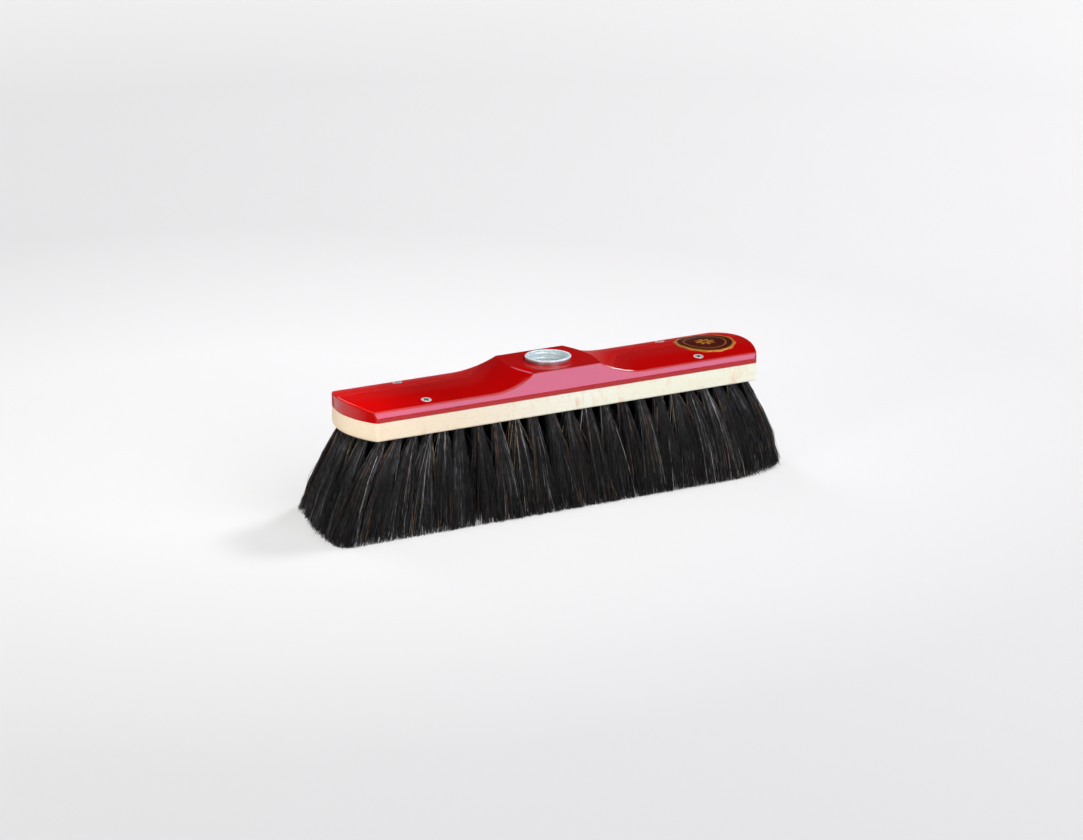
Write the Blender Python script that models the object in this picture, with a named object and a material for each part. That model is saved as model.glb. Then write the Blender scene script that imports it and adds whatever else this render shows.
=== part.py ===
"""The head of an indoor broom: a beech board that holds five rows of drawn horsehair tufts,
a red lacquered cover board screwed down over it, and a threaded metal socket for the handle.

Metres, +Z up. The hair tips stand on z = 0, X runs along the head and the origin is below its middle.
"""

import math

import bmesh
import bpy

# Outline of both boards, seen from above
LENGTH = 0.280
WIDTH = 0.058
END_BULGE = 0.0085
PLAN_CORNER_RADIUS = 0.0025

# Bristle board
BRISTLE_LENGTH = 0.0556
BOARD_THICKNESS = 0.01125
BOARD_EDGE_RADIUS = 0.0010
POCKET_WALL = 0.0016
POCKET_DEPTH = 0.0035

# Cover board, its heights measured from its underside
BAND_HEIGHT = 0.0026
SIDE_SLOPE = 0.51
EDGE_HEIGHT = 0.0063
CROWN_HEIGHT = 0.0027
COVER_EDGE_RADIUS = 0.0008
HUMP_HEIGHT = 0.0139
HUMP_HALF_LENGTH = 0.0233
HUMP_FOOT = 0.0523

# Handle socket, let into the hump
SOCKET_OUTER_DIAMETER = 0.0260
SOCKET_INNER_DIAMETER = 0.0244
FLANGE_DIAMETER = 0.0288
FLANGE_HEIGHT = 0.0023
RIM_HEIGHT = 0.0013
RIM_ROUNDING = 0.0004
RIM_GROOVE_DEPTH = 0.0005
RIM_GROOVE_HEIGHT = 0.0003
SOCKET_FLOOR = 0.0015

# Countersunk screws that hold the cover on the board
SCREW_HEAD_DIAMETER = 0.0060
SCREW_SHANK_DIAMETER = 0.0030
SCREW_HEAD_LAND = 0.0004
SCREW_LENGTH = 0.0120
SCREW_POINT_LENGTH = 0.0020
SCREW_POINT_RADIUS = 0.0004
SCREW_END_MARGIN_FRONT = 0.0455
SCREW_END_MARGIN_BACK = 0.0480
SCREW_SIDE_MARGIN = 0.00825

# Round seal on the right end of the cover
SEAL_DIAMETER = 0.0390
SEAL_THICKNESS = 0.0003
SEAL_END_MARGIN = 0.0085

# Tufts of horsehair and the wires that draw them in
TUFTS_PER_ROW = (23, 22, 23, 22, 23)
ROW_SIDE_MARGIN = 0.0050
TUFT_INSET = 0.0050
TUFT_ROOT_SPREAD = 0.0028
STRAND_ROOT_WIDTH = 0.0018
STRAND_MIDDLE_WIDTH = 0.0036
STRAND_TIP_WIDTH = 0.0034
STRAND_EMBEDDING = 0.0010
FLARE_ALONG = 0.0225
FLARE_ACROSS = 0.0175
FLARE_POWER_ALONG = 3.0
FLARE_POWER_ACROSS = 1.6
STRAND_BOW = 0.40
STRAND_MIDDLE = 0.45
WIRE_DIAMETER = 0.0008
WIRE_GROOVE_WIDTH = 0.0016
WIRE_GROOVE_DEPTH = 0.0014
WIRE_TAIL_LENGTH = 0.0030
WIRE_BEND_RADIUS = 0.0012

# Space between pieces that touch, and how far a cutter reaches past what it cuts
CLEARANCE = 0.0003
OVERCUT = 0.0040

# Roundness
CORNER_SEGMENTS = 4
CROWN_SEGMENTS = 8
CROWN_REACH = 1.16
EDGE_ROOM = 1.20
HUMP_SEGMENTS = 9
TURNED_SIDES = 48
SCREW_SIDES = 16
WIRE_SIDES = 6
EDGE_SEGMENTS = 3
SHARP_ANGLE = math.radians(32)

# Levels and radii that follow from the sizes above
BOARD_TOP_Z = BRISTLE_LENGTH + BOARD_THICKNESS
COVER_Z = BOARD_TOP_Z + CLEARANCE
TOP_HALF_WIDTH = WIDTH / 2 - SIDE_SLOPE * (EDGE_HEIGHT - BAND_HEIGHT)
HUMP_HALF_WIDTH = WIDTH / 2 - SIDE_SLOPE * (HUMP_HEIGHT - BAND_HEIGHT)
CROWN_RADIUS = (TOP_HALF_WIDTH**2 + CROWN_HEIGHT**2) / (2 * CROWN_HEIGHT)
END_RADIUS = ((WIDTH / 2) ** 2 + END_BULGE**2) / (2 * END_BULGE)
END_CENTRE_X = LENGTH / 2 - END_RADIUS
BORE_DIAMETER = SOCKET_OUTER_DIAMETER + 2 * CLEARANCE
SEAL_X = LENGTH / 2 - SEAL_END_MARGIN - SEAL_DIAMETER / 2
STRIP_INSET = POCKET_WALL + CLEARANCE
STRIP_TOP_Z = BRISTLE_LENGTH + POCKET_DEPTH - CLEARANCE
ROW_COUNT = len(TUFTS_PER_ROW)
ROW_PITCH = (WIDTH - 2 * ROW_SIDE_MARGIN) / (ROW_COUNT - 1)


def clear_scene():
    for item in list(bpy.data.objects):
        bpy.data.objects.remove(item, do_unlink=True)


def material(name, colour, roughness, metallic=0.0):
    made = bpy.data.materials.new(name)
    made.use_nodes = True
    shader = made.node_tree.nodes["Principled BSDF"]
    shader.inputs["Base Color"].default_value = (*colour, 1.0)
    shader.inputs["Roughness"].default_value = roughness
    shader.inputs["Metallic"].default_value = metallic
    return made


def make_materials():
    return {
        "lacquer": material("red_lacquer", (0.50, 0.006, 0.010), 0.22),
        "beech": material("pale_beech", (0.80, 0.66, 0.44), 0.55),
        "hair": material("black_horsehair", (0.012, 0.011, 0.011), 0.45),
        "zinc": material("zinc_plated_steel", (0.78, 0.82, 0.86), 0.25, 1.0),
        "wire": material("drawing_wire", (0.45, 0.44, 0.42), 0.40, 1.0),
        "seal": material("gilt_paper_seal", (0.060, 0.012, 0.008), 0.35),
    }


def loft(rings, closed=False):
    """A solid through rings of as many points each, capped at both ends unless it closes on itself."""
    mesh = bmesh.new()
    rows = [[mesh.verts.new(point) for point in ring] for ring in rings]
    pairs = list(zip(rows, rows[1:]))
    if closed:
        pairs.append((rows[-1], rows[0]))
    else:
        mesh.faces.new(rows[0])
        mesh.faces.new(rows[-1])
    for lower, upper in pairs:
        for i, point in enumerate(lower):
            j = (i + 1) % len(lower)
            mesh.faces.new((point, lower[j], upper[j], upper[i]))
    bmesh.ops.recalc_face_normals(mesh, faces=mesh.faces)
    return mesh


def place(name, mesh, look=None, location=(0, 0, 0), rotation=(0, 0, 0)):
    """An object with this mesh: a piece where it has a look, and a cutter where it has none."""
    data = bpy.data.meshes.new(name)
    mesh.to_mesh(data)
    mesh.free()
    data.shade_smooth()
    data.set_sharp_from_angle(angle=SHARP_ANGLE)
    made = bpy.data.objects.new(name, data)
    made.location = location
    made.rotation_euler = rotation
    bpy.context.scene.collection.objects.link(made)
    if look:
        data.materials.append(look)
    else:
        made.hide_render = True
        made.display_type = "WIRE"
    return made


def shade_evenly(piece):
    """Lets the large faces set the shading, so that flats look flat and rounded edges round."""
    piece.modifiers.new("even shading", "WEIGHTED_NORMAL").keep_sharp = True


def combine(target, other, operation):
    step = target.modifiers.new(f"{operation.lower()} {other.name}", "BOOLEAN")
    step.operation = operation
    step.solver = "EXACT"
    step.object = other


def box(low, high):
    corners = [(low[0], low[1]), (high[0], low[1]), (high[0], high[1]), (low[0], high[1])]
    return loft([[(x, y, z) for x, y in corners] for z in (low[2], high[2])])


def end_x(y, inset=0.0):
    """How far the bulging end reaches at y, on an outline drawn in by inset."""
    return END_CENTRE_X + math.sqrt((END_RADIUS - inset) ** 2 - y**2)


def cross_steps():
    """The y that the crown and the bulging ends share, clear of the rounded edges and past both sides."""
    inner = HUMP_HALF_WIDTH - EDGE_ROOM * COVER_EDGE_RADIUS
    middle = [inner * (2 * i / CROWN_SEGMENTS - 1) for i in range(CROWN_SEGMENTS + 1)]
    outer = [(TOP_HALF_WIDTH + WIDTH / 2) / 2, CROWN_REACH * WIDTH / 2]
    return [-y for y in reversed(outer)] + middle + outer


def outline(inset=0.0):
    """The boards' outline as (x, y) points: long sides, bulging ends and rounded corners."""
    half_width = WIDTH / 2 - inset
    radius = END_RADIUS - inset
    rounding = max(PLAN_CORNER_RADIUS - inset, CLEARANCE)
    corner_y = half_width - rounding
    corner_x = END_CENTRE_X + math.sqrt((radius - rounding) ** 2 - corner_y**2)
    turn = math.atan2(corner_y, corner_x - END_CENTRE_X)
    right = [(end_x(y, inset), y) for y in cross_steps() if abs(y) < radius * math.sin(turn)]
    corner = []
    for i in range(CORNER_SEGMENTS + 1):
        angle = turn + (math.pi / 2 - turn) * i / CORNER_SEGMENTS
        corner.append((corner_x + rounding * math.cos(angle), corner_y + rounding * math.sin(angle)))
    half = [(x, -y) for x, y in reversed(corner)] + right + corner
    return half + [(-x, -y) for x, y in half]


def prism(points, bottom, top):
    return loft([[(x, y, z) for x, y in points] for z in (bottom, top)])


def turned(profile, sides, closed=False):
    """A turned solid from (radius, z) points."""
    rings = []
    for radius, z in profile:
        angles = [2 * math.pi * i / sides for i in range(sides)]
        rings.append([(radius * math.cos(a), radius * math.sin(a), z) for a in angles])
    return loft(rings, closed)


def crown(y):
    """Height of the crowned top above the height of its long edges."""
    return math.sqrt(CROWN_RADIUS**2 - y**2) - math.sqrt(CROWN_RADIUS**2 - TOP_HALF_WIDTH**2)


def crown_lines():
    """The crown's height at each of the shared y."""
    return [(y, crown(y)) for y in cross_steps()]


def hump_profile():
    """The long edge's side view as (x, height): flat ends, then a hollow arc up to the hump."""
    run = HUMP_FOOT - HUMP_HALF_LENGTH
    rise = HUMP_HEIGHT - EDGE_HEIGHT - crown(HUMP_HALF_WIDTH)
    radius = (run**2 + rise**2) / (2 * rise)
    sweep = math.acos(1 - (HUMP_HEIGHT - EDGE_HEIGHT) / radius)
    right = [(LENGTH / 2 + OVERCUT, EDGE_HEIGHT)]
    for i in range(HUMP_SEGMENTS + 1):
        angle = sweep * i / HUMP_SEGMENTS
        x = HUMP_FOOT - radius * math.sin(angle)
        right.append((x, EDGE_HEIGHT + radius * (1 - math.cos(angle))))
    return [(-x, height) for x, height in right] + right[::-1]


def crowned_sweep():
    """Everything below the crowned top, as the crown carried along the side view."""
    lines = crown_lines()
    rings = []
    for x, height in hump_profile():
        top = [(x, y, height + rise) for y, rise in lines]
        rings.append([(x, lines[0][0], -2 * OVERCUT), *top, (x, lines[-1][0], -2 * OVERCUT)])
    return loft(rings)


def cover_section():
    """The blank's cross-section: an upright band, then long sides that lean in."""
    top = HUMP_HEIGHT + OVERCUT
    top_y = WIDTH / 2 - SIDE_SLOPE * (top - BAND_HEIGHT)
    right = [(WIDTH / 2, -OVERCUT), (WIDTH / 2, BAND_HEIGHT), (top_y, top)]
    return right + [(-y, z) for y, z in reversed(right)]


def make_cover(looks):
    """The blank is rounded along its upper edges, so it starts below its underside and is cut there."""
    reach = LENGTH / 2 + OVERCUT
    rings = [[(x, y, z) for y, z in cover_section()] for x in (-reach, reach)]
    cover = place("cover_board", loft(rings), looks["lacquer"], (0, 0, COVER_Z))
    at_cover = (0, 0, COVER_Z)
    plan = place("cover_plan", prism(outline(), -2 * OVERCUT, HUMP_HEIGHT + 2 * OVERCUT), None, at_cover)
    sweep = place("cover_crown", crowned_sweep(), None, at_cover)
    wide = WIDTH / 2 + OVERCUT
    above = box((-reach, -wide, HUMP_HEIGHT), (reach, wide, HUMP_HEIGHT + 2 * OVERCUT))
    hump_top = place("hump_top", above, None, at_cover)
    below = box((-reach - OVERCUT, -wide, -3 * OVERCUT), (reach + OVERCUT, wide, 0))
    underside = place("cover_underside", below, None, at_cover)
    combine(cover, plan, "INTERSECT")
    combine(cover, sweep, "INTERSECT")
    combine(cover, hump_top, "DIFFERENCE")
    rounding = cover.modifiers.new("rounded upper edges", "BEVEL")
    rounding.width = COVER_EDGE_RADIUS
    rounding.segments = EDGE_SEGMENTS
    rounding.use_clamp_overlap = False
    rounding.limit_method = "ANGLE"
    rounding.angle_limit = math.radians(35)
    combine(cover, underside, "DIFFERENCE")
    return cover


def make_board(looks):
    """The lower edge is rounded, the top lies flat against the cover."""
    rings = []
    for i in range(EDGE_SEGMENTS + 1):
        angle = math.pi / 2 * i / EDGE_SEGMENTS
        inset = BOARD_EDGE_RADIUS * (1 - math.sin(angle))
        z = BRISTLE_LENGTH + BOARD_EDGE_RADIUS * (1 - math.cos(angle))
        rings.append([(x, y, z) for x, y in outline(inset)])
    rings.append([(x, y, BOARD_TOP_Z) for x, y in outline()])
    board = place("bristle_board", loft(rings), looks["beech"])
    pocket_top = BRISTLE_LENGTH + POCKET_DEPTH
    pocket = prism(outline(POCKET_WALL), BRISTLE_LENGTH - OVERCUT, pocket_top)
    combine(board, place("board_pocket", pocket), "DIFFERENCE")
    return board


def bore_cover(cover):
    """A blind bore for the socket, from the flat of the hump."""
    radius = BORE_DIAMETER / 2
    bore = turned([(radius, SOCKET_FLOOR), (radius, HUMP_HEIGHT + OVERCUT)], TURNED_SIDES)
    combine(cover, place("socket_bore", bore, None, (0, 0, COVER_Z)), "DIFFERENCE")


def socket_profile():
    """Half the socket's section, from the foot of the sleeve up its outside and down its bore."""
    inner = SOCKET_INNER_DIAMETER / 2
    outer = SOCKET_OUTER_DIAMETER / 2
    flange = FLANGE_DIAMETER / 2
    foot = SOCKET_FLOOR + CLEARANCE
    seat = HUMP_HEIGHT + CLEARANCE
    top = seat + FLANGE_HEIGHT
    groove_top = top - RIM_HEIGHT
    groove = flange - RIM_GROOVE_DEPTH
    half_round = RIM_ROUNDING * math.sqrt(0.5)
    profile = [
        (inner, foot),
        (outer, foot),
        (outer, seat),
        (flange, seat),
        (flange, groove_top - RIM_GROOVE_HEIGHT),
        (groove, groove_top - RIM_GROOVE_HEIGHT),
        (groove, groove_top),
        (flange, groove_top),
        (flange, top - RIM_ROUNDING),
        (flange - RIM_ROUNDING + half_round, top - RIM_ROUNDING + half_round),
        (flange - RIM_ROUNDING, top),
        (inner + RIM_ROUNDING, top),
        (inner + RIM_ROUNDING - half_round, top - RIM_ROUNDING + half_round),
        (inner, top - RIM_ROUNDING),
    ]
    return profile


def make_socket(looks):
    sleeve = turned(socket_profile(), TURNED_SIDES, closed=True)
    place("handle_socket", sleeve, looks["zinc"], (0, 0, COVER_Z))


def screw_profile(gap=0.0):
    """A countersunk screw from its head down to its point, or the hole for it with a gap all round."""
    head = SCREW_HEAD_DIAMETER / 2
    shank = SCREW_SHANK_DIAMETER / 2
    neck = -SCREW_HEAD_LAND - (head - shank)
    point = -SCREW_LENGTH
    profile = [
        (head + gap, 0),
        (head + gap, -SCREW_HEAD_LAND - gap),
        (shank + gap, neck - gap),
        (shank + gap, point + SCREW_POINT_LENGTH - gap),
        (SCREW_POINT_RADIUS + gap, point - gap),
    ]
    if gap:
        profile.insert(0, (head + gap, OVERCUT))
    return profile


def make_screws(looks, cover, board):
    """Each screw stands square to the crowned top, with its head flush in it."""
    across = WIDTH / 2 - SCREW_SIDE_MARGIN
    lean = math.asin(across / CROWN_RADIUS)
    height = COVER_Z + EDGE_HEIGHT + crown(across)
    for row, side, margin in (("front", -1, SCREW_END_MARGIN_FRONT), ("back", 1, SCREW_END_MARGIN_BACK)):
        for end, way in (("left", -1), ("right", 1)):
            spot = (way * (LENGTH / 2 - margin), side * across, height)
            turn = (-side * lean, 0, 0)
            screw = turned(screw_profile(), SCREW_SIDES)
            place(f"cover_screw_{row}_{end}", screw, looks["zinc"], spot, turn)
            gap = turned(screw_profile(CLEARANCE), SCREW_SIDES)
            hole = place(f"screw_hole_{row}_{end}", gap, None, spot, turn)
            combine(cover, hole, "DIFFERENCE")
            combine(board, hole, "DIFFERENCE")


def make_seal(looks):
    """A thin disc that follows the crown, cut round from a sheet."""
    lines = crown_lines()
    reach = SEAL_DIAMETER / 2 + OVERCUT
    rings = []
    for x in (-reach, reach):
        under = [(x, y, rise) for y, rise in lines]
        over = [(x, y, rise + SEAL_THICKNESS) for y, rise in reversed(lines)]
        rings.append(under + over)
    spot = (SEAL_X, 0, COVER_Z + EDGE_HEIGHT + CLEARANCE)
    seal = place("round_seal", loft(rings), looks["seal"], spot)
    radius = SEAL_DIAMETER / 2
    disc = turned([(radius, -OVERCUT), (radius, CROWN_HEIGHT + OVERCUT)], TURNED_SIDES)
    combine(seal, place("seal_outline", disc, None, spot), "INTERSECT")


def row_y(row):
    return ROW_PITCH * (row - (ROW_COUNT - 1) / 2)


def tuft_centres(row):
    """The tufts' places along one row, evenly spaced between the bulging ends."""
    last = end_x(row_y(row), TUFT_INSET)
    steps = TUFTS_PER_ROW[row] - 1
    return [last * (2 * i / steps - 1) for i in range(steps + 1)]


def flared(place_at, outermost, flare, power):
    """Where hair that leaves the board at this place comes down, further out towards the edges."""
    share = abs(place_at) / outermost
    return place_at + math.copysign(flare * share**power, place_at)


def triangle(x, y, z, width):
    """A level triangle with one corner turned away from the middle of the head."""
    radius = width / math.sqrt(3)
    angles = [math.copysign(math.pi / 2, y) + 2 * math.pi * i / 3 for i in range(3)]
    return [(x + radius * math.cos(a), y + radius * math.sin(a), z) for a in angles]


def strand_rings(root, tip):
    """A strand's sections from inside the strip down to the flat tip; it bows out, then drops."""
    rings = [triangle(*root, BRISTLE_LENGTH + STRAND_EMBEDDING, STRAND_ROOT_WIDTH)]
    for drop, width in ((STRAND_MIDDLE, STRAND_MIDDLE_WIDTH), (1.0, STRAND_TIP_WIDTH)):
        share = drop + STRAND_BOW * drop * (1 - drop)
        x, y = (start + share * (end - start) for start, end in zip(root, tip))
        rings.append(triangle(x, y, BRISTLE_LENGTH * (1 - drop), width))
    return rings


def row_strands(row):
    """Four strands a tuft: gathered where they leave the board, evenly spread where they end."""
    centres = tuft_centres(row)
    quarter_pitch = (centres[1] - centres[0]) / 4
    outermost_x = end_x(0, TUFT_INSET) + quarter_pitch
    outermost_y = abs(row_y(0)) + ROW_PITCH / 4
    strands = []
    for centre in centres:
        for way_x in (-1, 1):
            for way_y in (-1, 1):
                root = (centre + way_x * TUFT_ROOT_SPREAD / 2, row_y(row) + way_y * TUFT_ROOT_SPREAD / 2)
                spread_x = centre + way_x * quarter_pitch
                spread_y = row_y(row) + way_y * ROW_PITCH / 4
                tip_x = flared(spread_x, outermost_x, FLARE_ALONG, FLARE_POWER_ALONG)
                tip_y = flared(spread_y, outermost_y, FLARE_ACROSS, FLARE_POWER_ACROSS)
                strands.append(strand_rings(root, (tip_x, tip_y)))
    return strands


def strip_box(row):
    """A row's slice of the backing, up to the pocket's walls beside the outer rows."""
    half_slice = (ROW_PITCH - CLEARANCE) / 2
    low = -WIDTH / 2 if row == 0 else row_y(row) - half_slice
    high = WIDTH / 2 if row == ROW_COUNT - 1 else row_y(row) + half_slice
    return box((-LENGTH / 2, low, BRISTLE_LENGTH), (LENGTH / 2, high, STRIP_TOP_Z))


def joined(meshes):
    """Several closed shapes in one mesh."""
    whole = bmesh.new()
    for mesh in meshes:
        part = bpy.data.meshes.new("part")
        mesh.to_mesh(part)
        mesh.free()
        whole.from_mesh(part)
        bpy.data.meshes.remove(part)
    return whole


def make_bristle_rows(looks):
    """The slices are cut to the pocket's outline, and the strands grow out of them."""
    plan = prism(outline(STRIP_INSET), BRISTLE_LENGTH - OVERCUT, STRIP_TOP_Z + OVERCUT)
    strip_plan = place("strip_plan", plan)
    for row in range(ROW_COUNT):
        number = row + 1
        piece = place(f"bristle_row_{number}", strip_box(row), looks["hair"])
        strands = joined([loft(rings) for rings in row_strands(row)])
        combine(piece, strip_plan, "INTERSECT")
        combine(piece, place(f"strands_{number}", strands), "UNION")


def wire_path(row):
    """A draw wire as (x, z) points: along its groove, with both tails turned down into the board."""
    last = tuft_centres(row)[-1]
    level = BOARD_TOP_Z - WIRE_GROOVE_DEPTH + CLEARANCE + WIRE_DIAMETER / 2
    bend = []
    for i in range(EDGE_SEGMENTS + 1):
        angle = math.pi / 2 * i / EDGE_SEGMENTS
        x = last - WIRE_BEND_RADIUS * (1 - math.cos(angle))
        bend.append((x, level - WIRE_BEND_RADIUS * (1 - math.sin(angle))))
    right = [(last, level - WIRE_TAIL_LENGTH), *bend]
    return [(-x, z) for x, z in right] + right[::-1]


def tube(path, y, radius, sides):
    """A round bar along a path in an upright plane."""
    rings = []
    for i, (x, z) in enumerate(path):
        before = path[max(i - 1, 0)]
        after = path[min(i + 1, len(path) - 1)]
        heading = math.atan2(after[1] - before[1], after[0] - before[0])
        ring = []
        for j in range(sides):
            angle = 2 * math.pi * j / sides
            across = radius * math.cos(angle)
            up = radius * math.sin(angle)
            ring.append((x - up * math.sin(heading), y + across, z + up * math.cos(heading)))
        rings.append(ring)
    return loft(rings)


def make_wires(looks, board):
    """Each wire lies in a groove with a well at either end, where its tail is driven in."""
    half_groove = WIRE_GROOVE_WIDTH / 2
    floor = BOARD_TOP_Z - WIRE_GROOVE_DEPTH
    for row in range(ROW_COUNT):
        number = row + 1
        y = row_y(row)
        last = tuft_centres(row)[-1]
        wire = tube(wire_path(row), y, WIRE_DIAMETER / 2, WIRE_SIDES)
        place(f"draw_wire_{number}", wire, looks["wire"])
        end = last + half_groove
        groove = box((-end, y - half_groove, floor), (end, y + half_groove, BOARD_TOP_Z + OVERCUT))
        combine(board, place(f"wire_groove_{number}", groove), "DIFFERENCE")
        foot = floor - WIRE_TAIL_LENGTH
        near = last - WIRE_BEND_RADIUS
        for side, low, high in (("left", -end, -near), ("right", near, end)):
            well = box((low, y - half_groove, foot), (high, y + half_groove, BOARD_TOP_Z))
            combine(board, place(f"wire_well_{number}_{side}", well), "DIFFERENCE")


def main():
    clear_scene()
    looks = make_materials()
    cover = make_cover(looks)
    board = make_board(looks)
    bore_cover(cover)
    make_socket(looks)
    make_screws(looks, cover, board)
    make_seal(looks)
    make_wires(looks, board)
    make_bristle_rows(looks)
    shade_evenly(cover)
    shade_evenly(board)


main()
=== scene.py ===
"""The looks of the broom head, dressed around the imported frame.

Metres, +Z up, in the frame's own axes: the hair tips stand on z = 0, X runs along the head towards
the seal and Y towards the back. Each piece made here stands where the node that it replaces stands.
"""

import math

import bmesh
import bpy
import numpy as np
from mathutils import Matrix, Vector


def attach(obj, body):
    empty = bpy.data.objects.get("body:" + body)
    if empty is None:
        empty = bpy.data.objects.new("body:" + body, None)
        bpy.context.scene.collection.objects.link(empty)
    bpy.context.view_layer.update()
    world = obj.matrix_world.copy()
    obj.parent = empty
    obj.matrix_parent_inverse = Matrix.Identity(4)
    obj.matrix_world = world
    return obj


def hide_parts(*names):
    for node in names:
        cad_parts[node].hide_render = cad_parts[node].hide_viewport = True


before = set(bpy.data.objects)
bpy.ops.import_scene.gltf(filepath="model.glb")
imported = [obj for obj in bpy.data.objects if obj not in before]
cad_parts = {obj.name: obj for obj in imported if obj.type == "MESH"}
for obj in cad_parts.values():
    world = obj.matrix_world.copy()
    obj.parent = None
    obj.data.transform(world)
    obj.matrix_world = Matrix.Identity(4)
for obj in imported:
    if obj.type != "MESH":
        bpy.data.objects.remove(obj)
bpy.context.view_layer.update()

# Outline of both boards, seen from above
LENGTH = 0.280
WIDTH = 0.058
END_BULGE = 0.0085
END_RADIUS = ((WIDTH / 2) ** 2 + END_BULGE**2) / (2 * END_BULGE)
END_CENTRE_X = LENGTH / 2 - END_RADIUS
PLAN_CORNER_RADIUS = 0.0025
CORNER_STEPS = 6
END_STEPS = 12

# Levels of the board and the cover, which meet at the seam
BOARD_BOTTOM = 0.0556
SEAM = 0.0670
BOARD_EDGE_RADIUS = 0.0016
BOARD_SEAM_RADIUS = BOARD_EDGE_RADIUS / 5
BOARD_EDGE_STEPS = 5

# Holes, grooves and wells in the board, with cutters that stand past its faces
HOLE_RADIUS = 0.0028
HOLE_TOP = 0.0640
HOLE_SIDES = 16
WIRE_INSET = 0.0050
GROOVE_HALF_WIDTH = 0.0008
GROOVE_BOTTOM = SEAM - 0.00155
WELL_LENGTH = 0.0012
WELL_BOTTOM = 0.06245
CUT_PAST = 0.002

# Cover, heights above its underside in the frame
COVER_Z = 0.06715
BAND_HEIGHT = 0.0026
SIDE_SLOPE = 0.51
EDGE_HEIGHT = 0.0063
CROWN_HEIGHT = 0.0027
HUMP_HEIGHT = 0.0139
HUMP_HALF_LENGTH = 0.0233
HUMP_FOOT = 0.0523
TOP_HALF_WIDTH = WIDTH / 2 - SIDE_SLOPE * (EDGE_HEIGHT - BAND_HEIGHT)
HUMP_HALF_WIDTH = WIDTH / 2 - SIDE_SLOPE * (HUMP_HEIGHT - BAND_HEIGHT)
CROWN_RADIUS = (TOP_HALF_WIDTH**2 + CROWN_HEIGHT**2) / (2 * CROWN_HEIGHT)
TOP_CORNER_RADIUS = 0.0007
EDGE_ROUNDING = 0.0012
HUMP_ROUNDING = 0.0006
ROUNDING_RUN = 0.08
EDGE_STEPS = 6
EDGE_TRIES = 12
EDGE_PROBE = 0.0005
HEIGHT_TOLERANCE = 1e-6
FOOT_BEVEL = 0.0002
BAND_BEVEL = 0.0003
SIDE_LEVEL = 0.0012

# Crease at the left of the hump, as a parabola, along whose front half a highlight line is painted, and its
# front corner
CREASE_MIDDLE = 0.0276
CREASE_CURVE = 8.1
CREASE_LINE = 0.0008
CREASE_CORNER = (-0.0262, -0.0150, 0.0806)

# Handle socket, heights above the cover's underside
SOCKET_INNER = 0.0122
SOCKET_OUTER = 0.0130
SOCKET_FLOOR = 0.0015
SOCKET_GAP = 0.0003
SOCKET_FOOT = SOCKET_FLOOR + SOCKET_GAP
SOCKET_SIDES = 128
BORE_RADIUS = SOCKET_OUTER + 0.0001
BORE_TOP = 0.0200
BORE_SIDES = 96
NECK_RADIUS = 0.0136
NECK_SEAT = HUMP_HEIGHT + 0.0001
FLANGE_RADIUS = 0.0141
FLANGE_HEIGHT = 0.0023
RIM_TOP = HUMP_HEIGHT + SOCKET_GAP + FLANGE_HEIGHT
BEAD_HEIGHT = 0.0013
BEAD_FOOT = RIM_TOP - BEAD_HEIGHT
BEAD_UNDERCUT = 0.0003
BEAD_START = -62
BEAD_SWEEP = 240
BEAD_STEPS = 21
BEAD_BULGE_POWER = 0.75
BEAD_RISE_POWER = 0.85
THREAD_PITCH = 0.0030
THREAD_DEPTH = 0.00028
THREAD_FULLNESS = 0.8
THREAD_TOP = BEAD_FOOT + BEAD_HEIGHT / 2 - 0.0002
THREAD_EASE_TOP = 0.0012
THREAD_EASE_FOOT = 0.0010
THREAD_ROWS = 84

# Screws, depths below the top of the head; each spot has its x, its side and the turn of its recess
SCREW_SPOTS = {
    "front_left": (-0.0945, -1, 0.3),
    "front_right": (0.0945, -1, 1.1),
    "back_left": (-0.0920, 1, 0.7),
    "back_right": (0.0920, 1, 0.1),
}
SCREW_Y = 0.02075
SCREW_RADIUS = 0.0030
SCREW_SHANK_RADIUS = 0.0015
SCREW_POINT_RADIUS = 0.0004
SCREW_LAND = 0.0004
SCREW_CONE_END = 0.0019
SCREW_SHANK_END = 0.0100
SCREW_LENGTH = 0.0120
SCREW_EDGE = 0.00012
SCREW_DOME_INSET = 0.0008
SCREW_DOME_HEIGHT = 0.00004
SCREW_HOLE_GAP = 0.00018
SCREW_HOLE_TOP = 0.0040
SCREW_SIDES = 40
SCREW_HOLE_SIDES = 32

# Arms of the cross recess at the bottom and above the top, as (z, half length, half width)
RECESS_LEVELS = ((-0.0016, 0.0007, 0.0003), (0.0003, 0.0022, 0.0007))

# Seal, with rings as (share of the radius, share of the lift); its look takes the distance from the
# middle in millimetres, and the bands of gilt go by that distance as a share of the look's span
SEAL_X = 0.1120
SEAL_RADIUS = 0.0190
SEAL_LIFT = 0.0006
SEAL_THICKNESS = 0.0001
SEAL_LOBES = 12
SEAL_WAVE = 0.024
SEAL_WAVE_POWER = 8
SEAL_SIDES = 128
SEAL_LOOK_SPAN = 20.0
SEAL_RINGS = [(1.0, 0.0), (0.998, 0.5), (0.985, 0.85), (0.95, 1.0), (0.90, 1.0), (0.88, 0.9)]
SEAL_RINGS += [(share, 0.9) for share in (0.80, 0.66, 0.50, 0.34, 0.18)]

# Tufts in their rows
TUFTS_PER_ROW = (23, 22, 23, 22, 23)
ROWS = len(TUFTS_PER_ROW)
ROW_PITCH = 0.0120
OUTER_ROW = ROW_PITCH * (ROWS - 1) / 2
TUFT_INSET = 0.0078
MIDDLE_PITCH = 0.0125
MIDDLE_TUFTS = 6
HAIR_TOP = 0.0588

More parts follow.
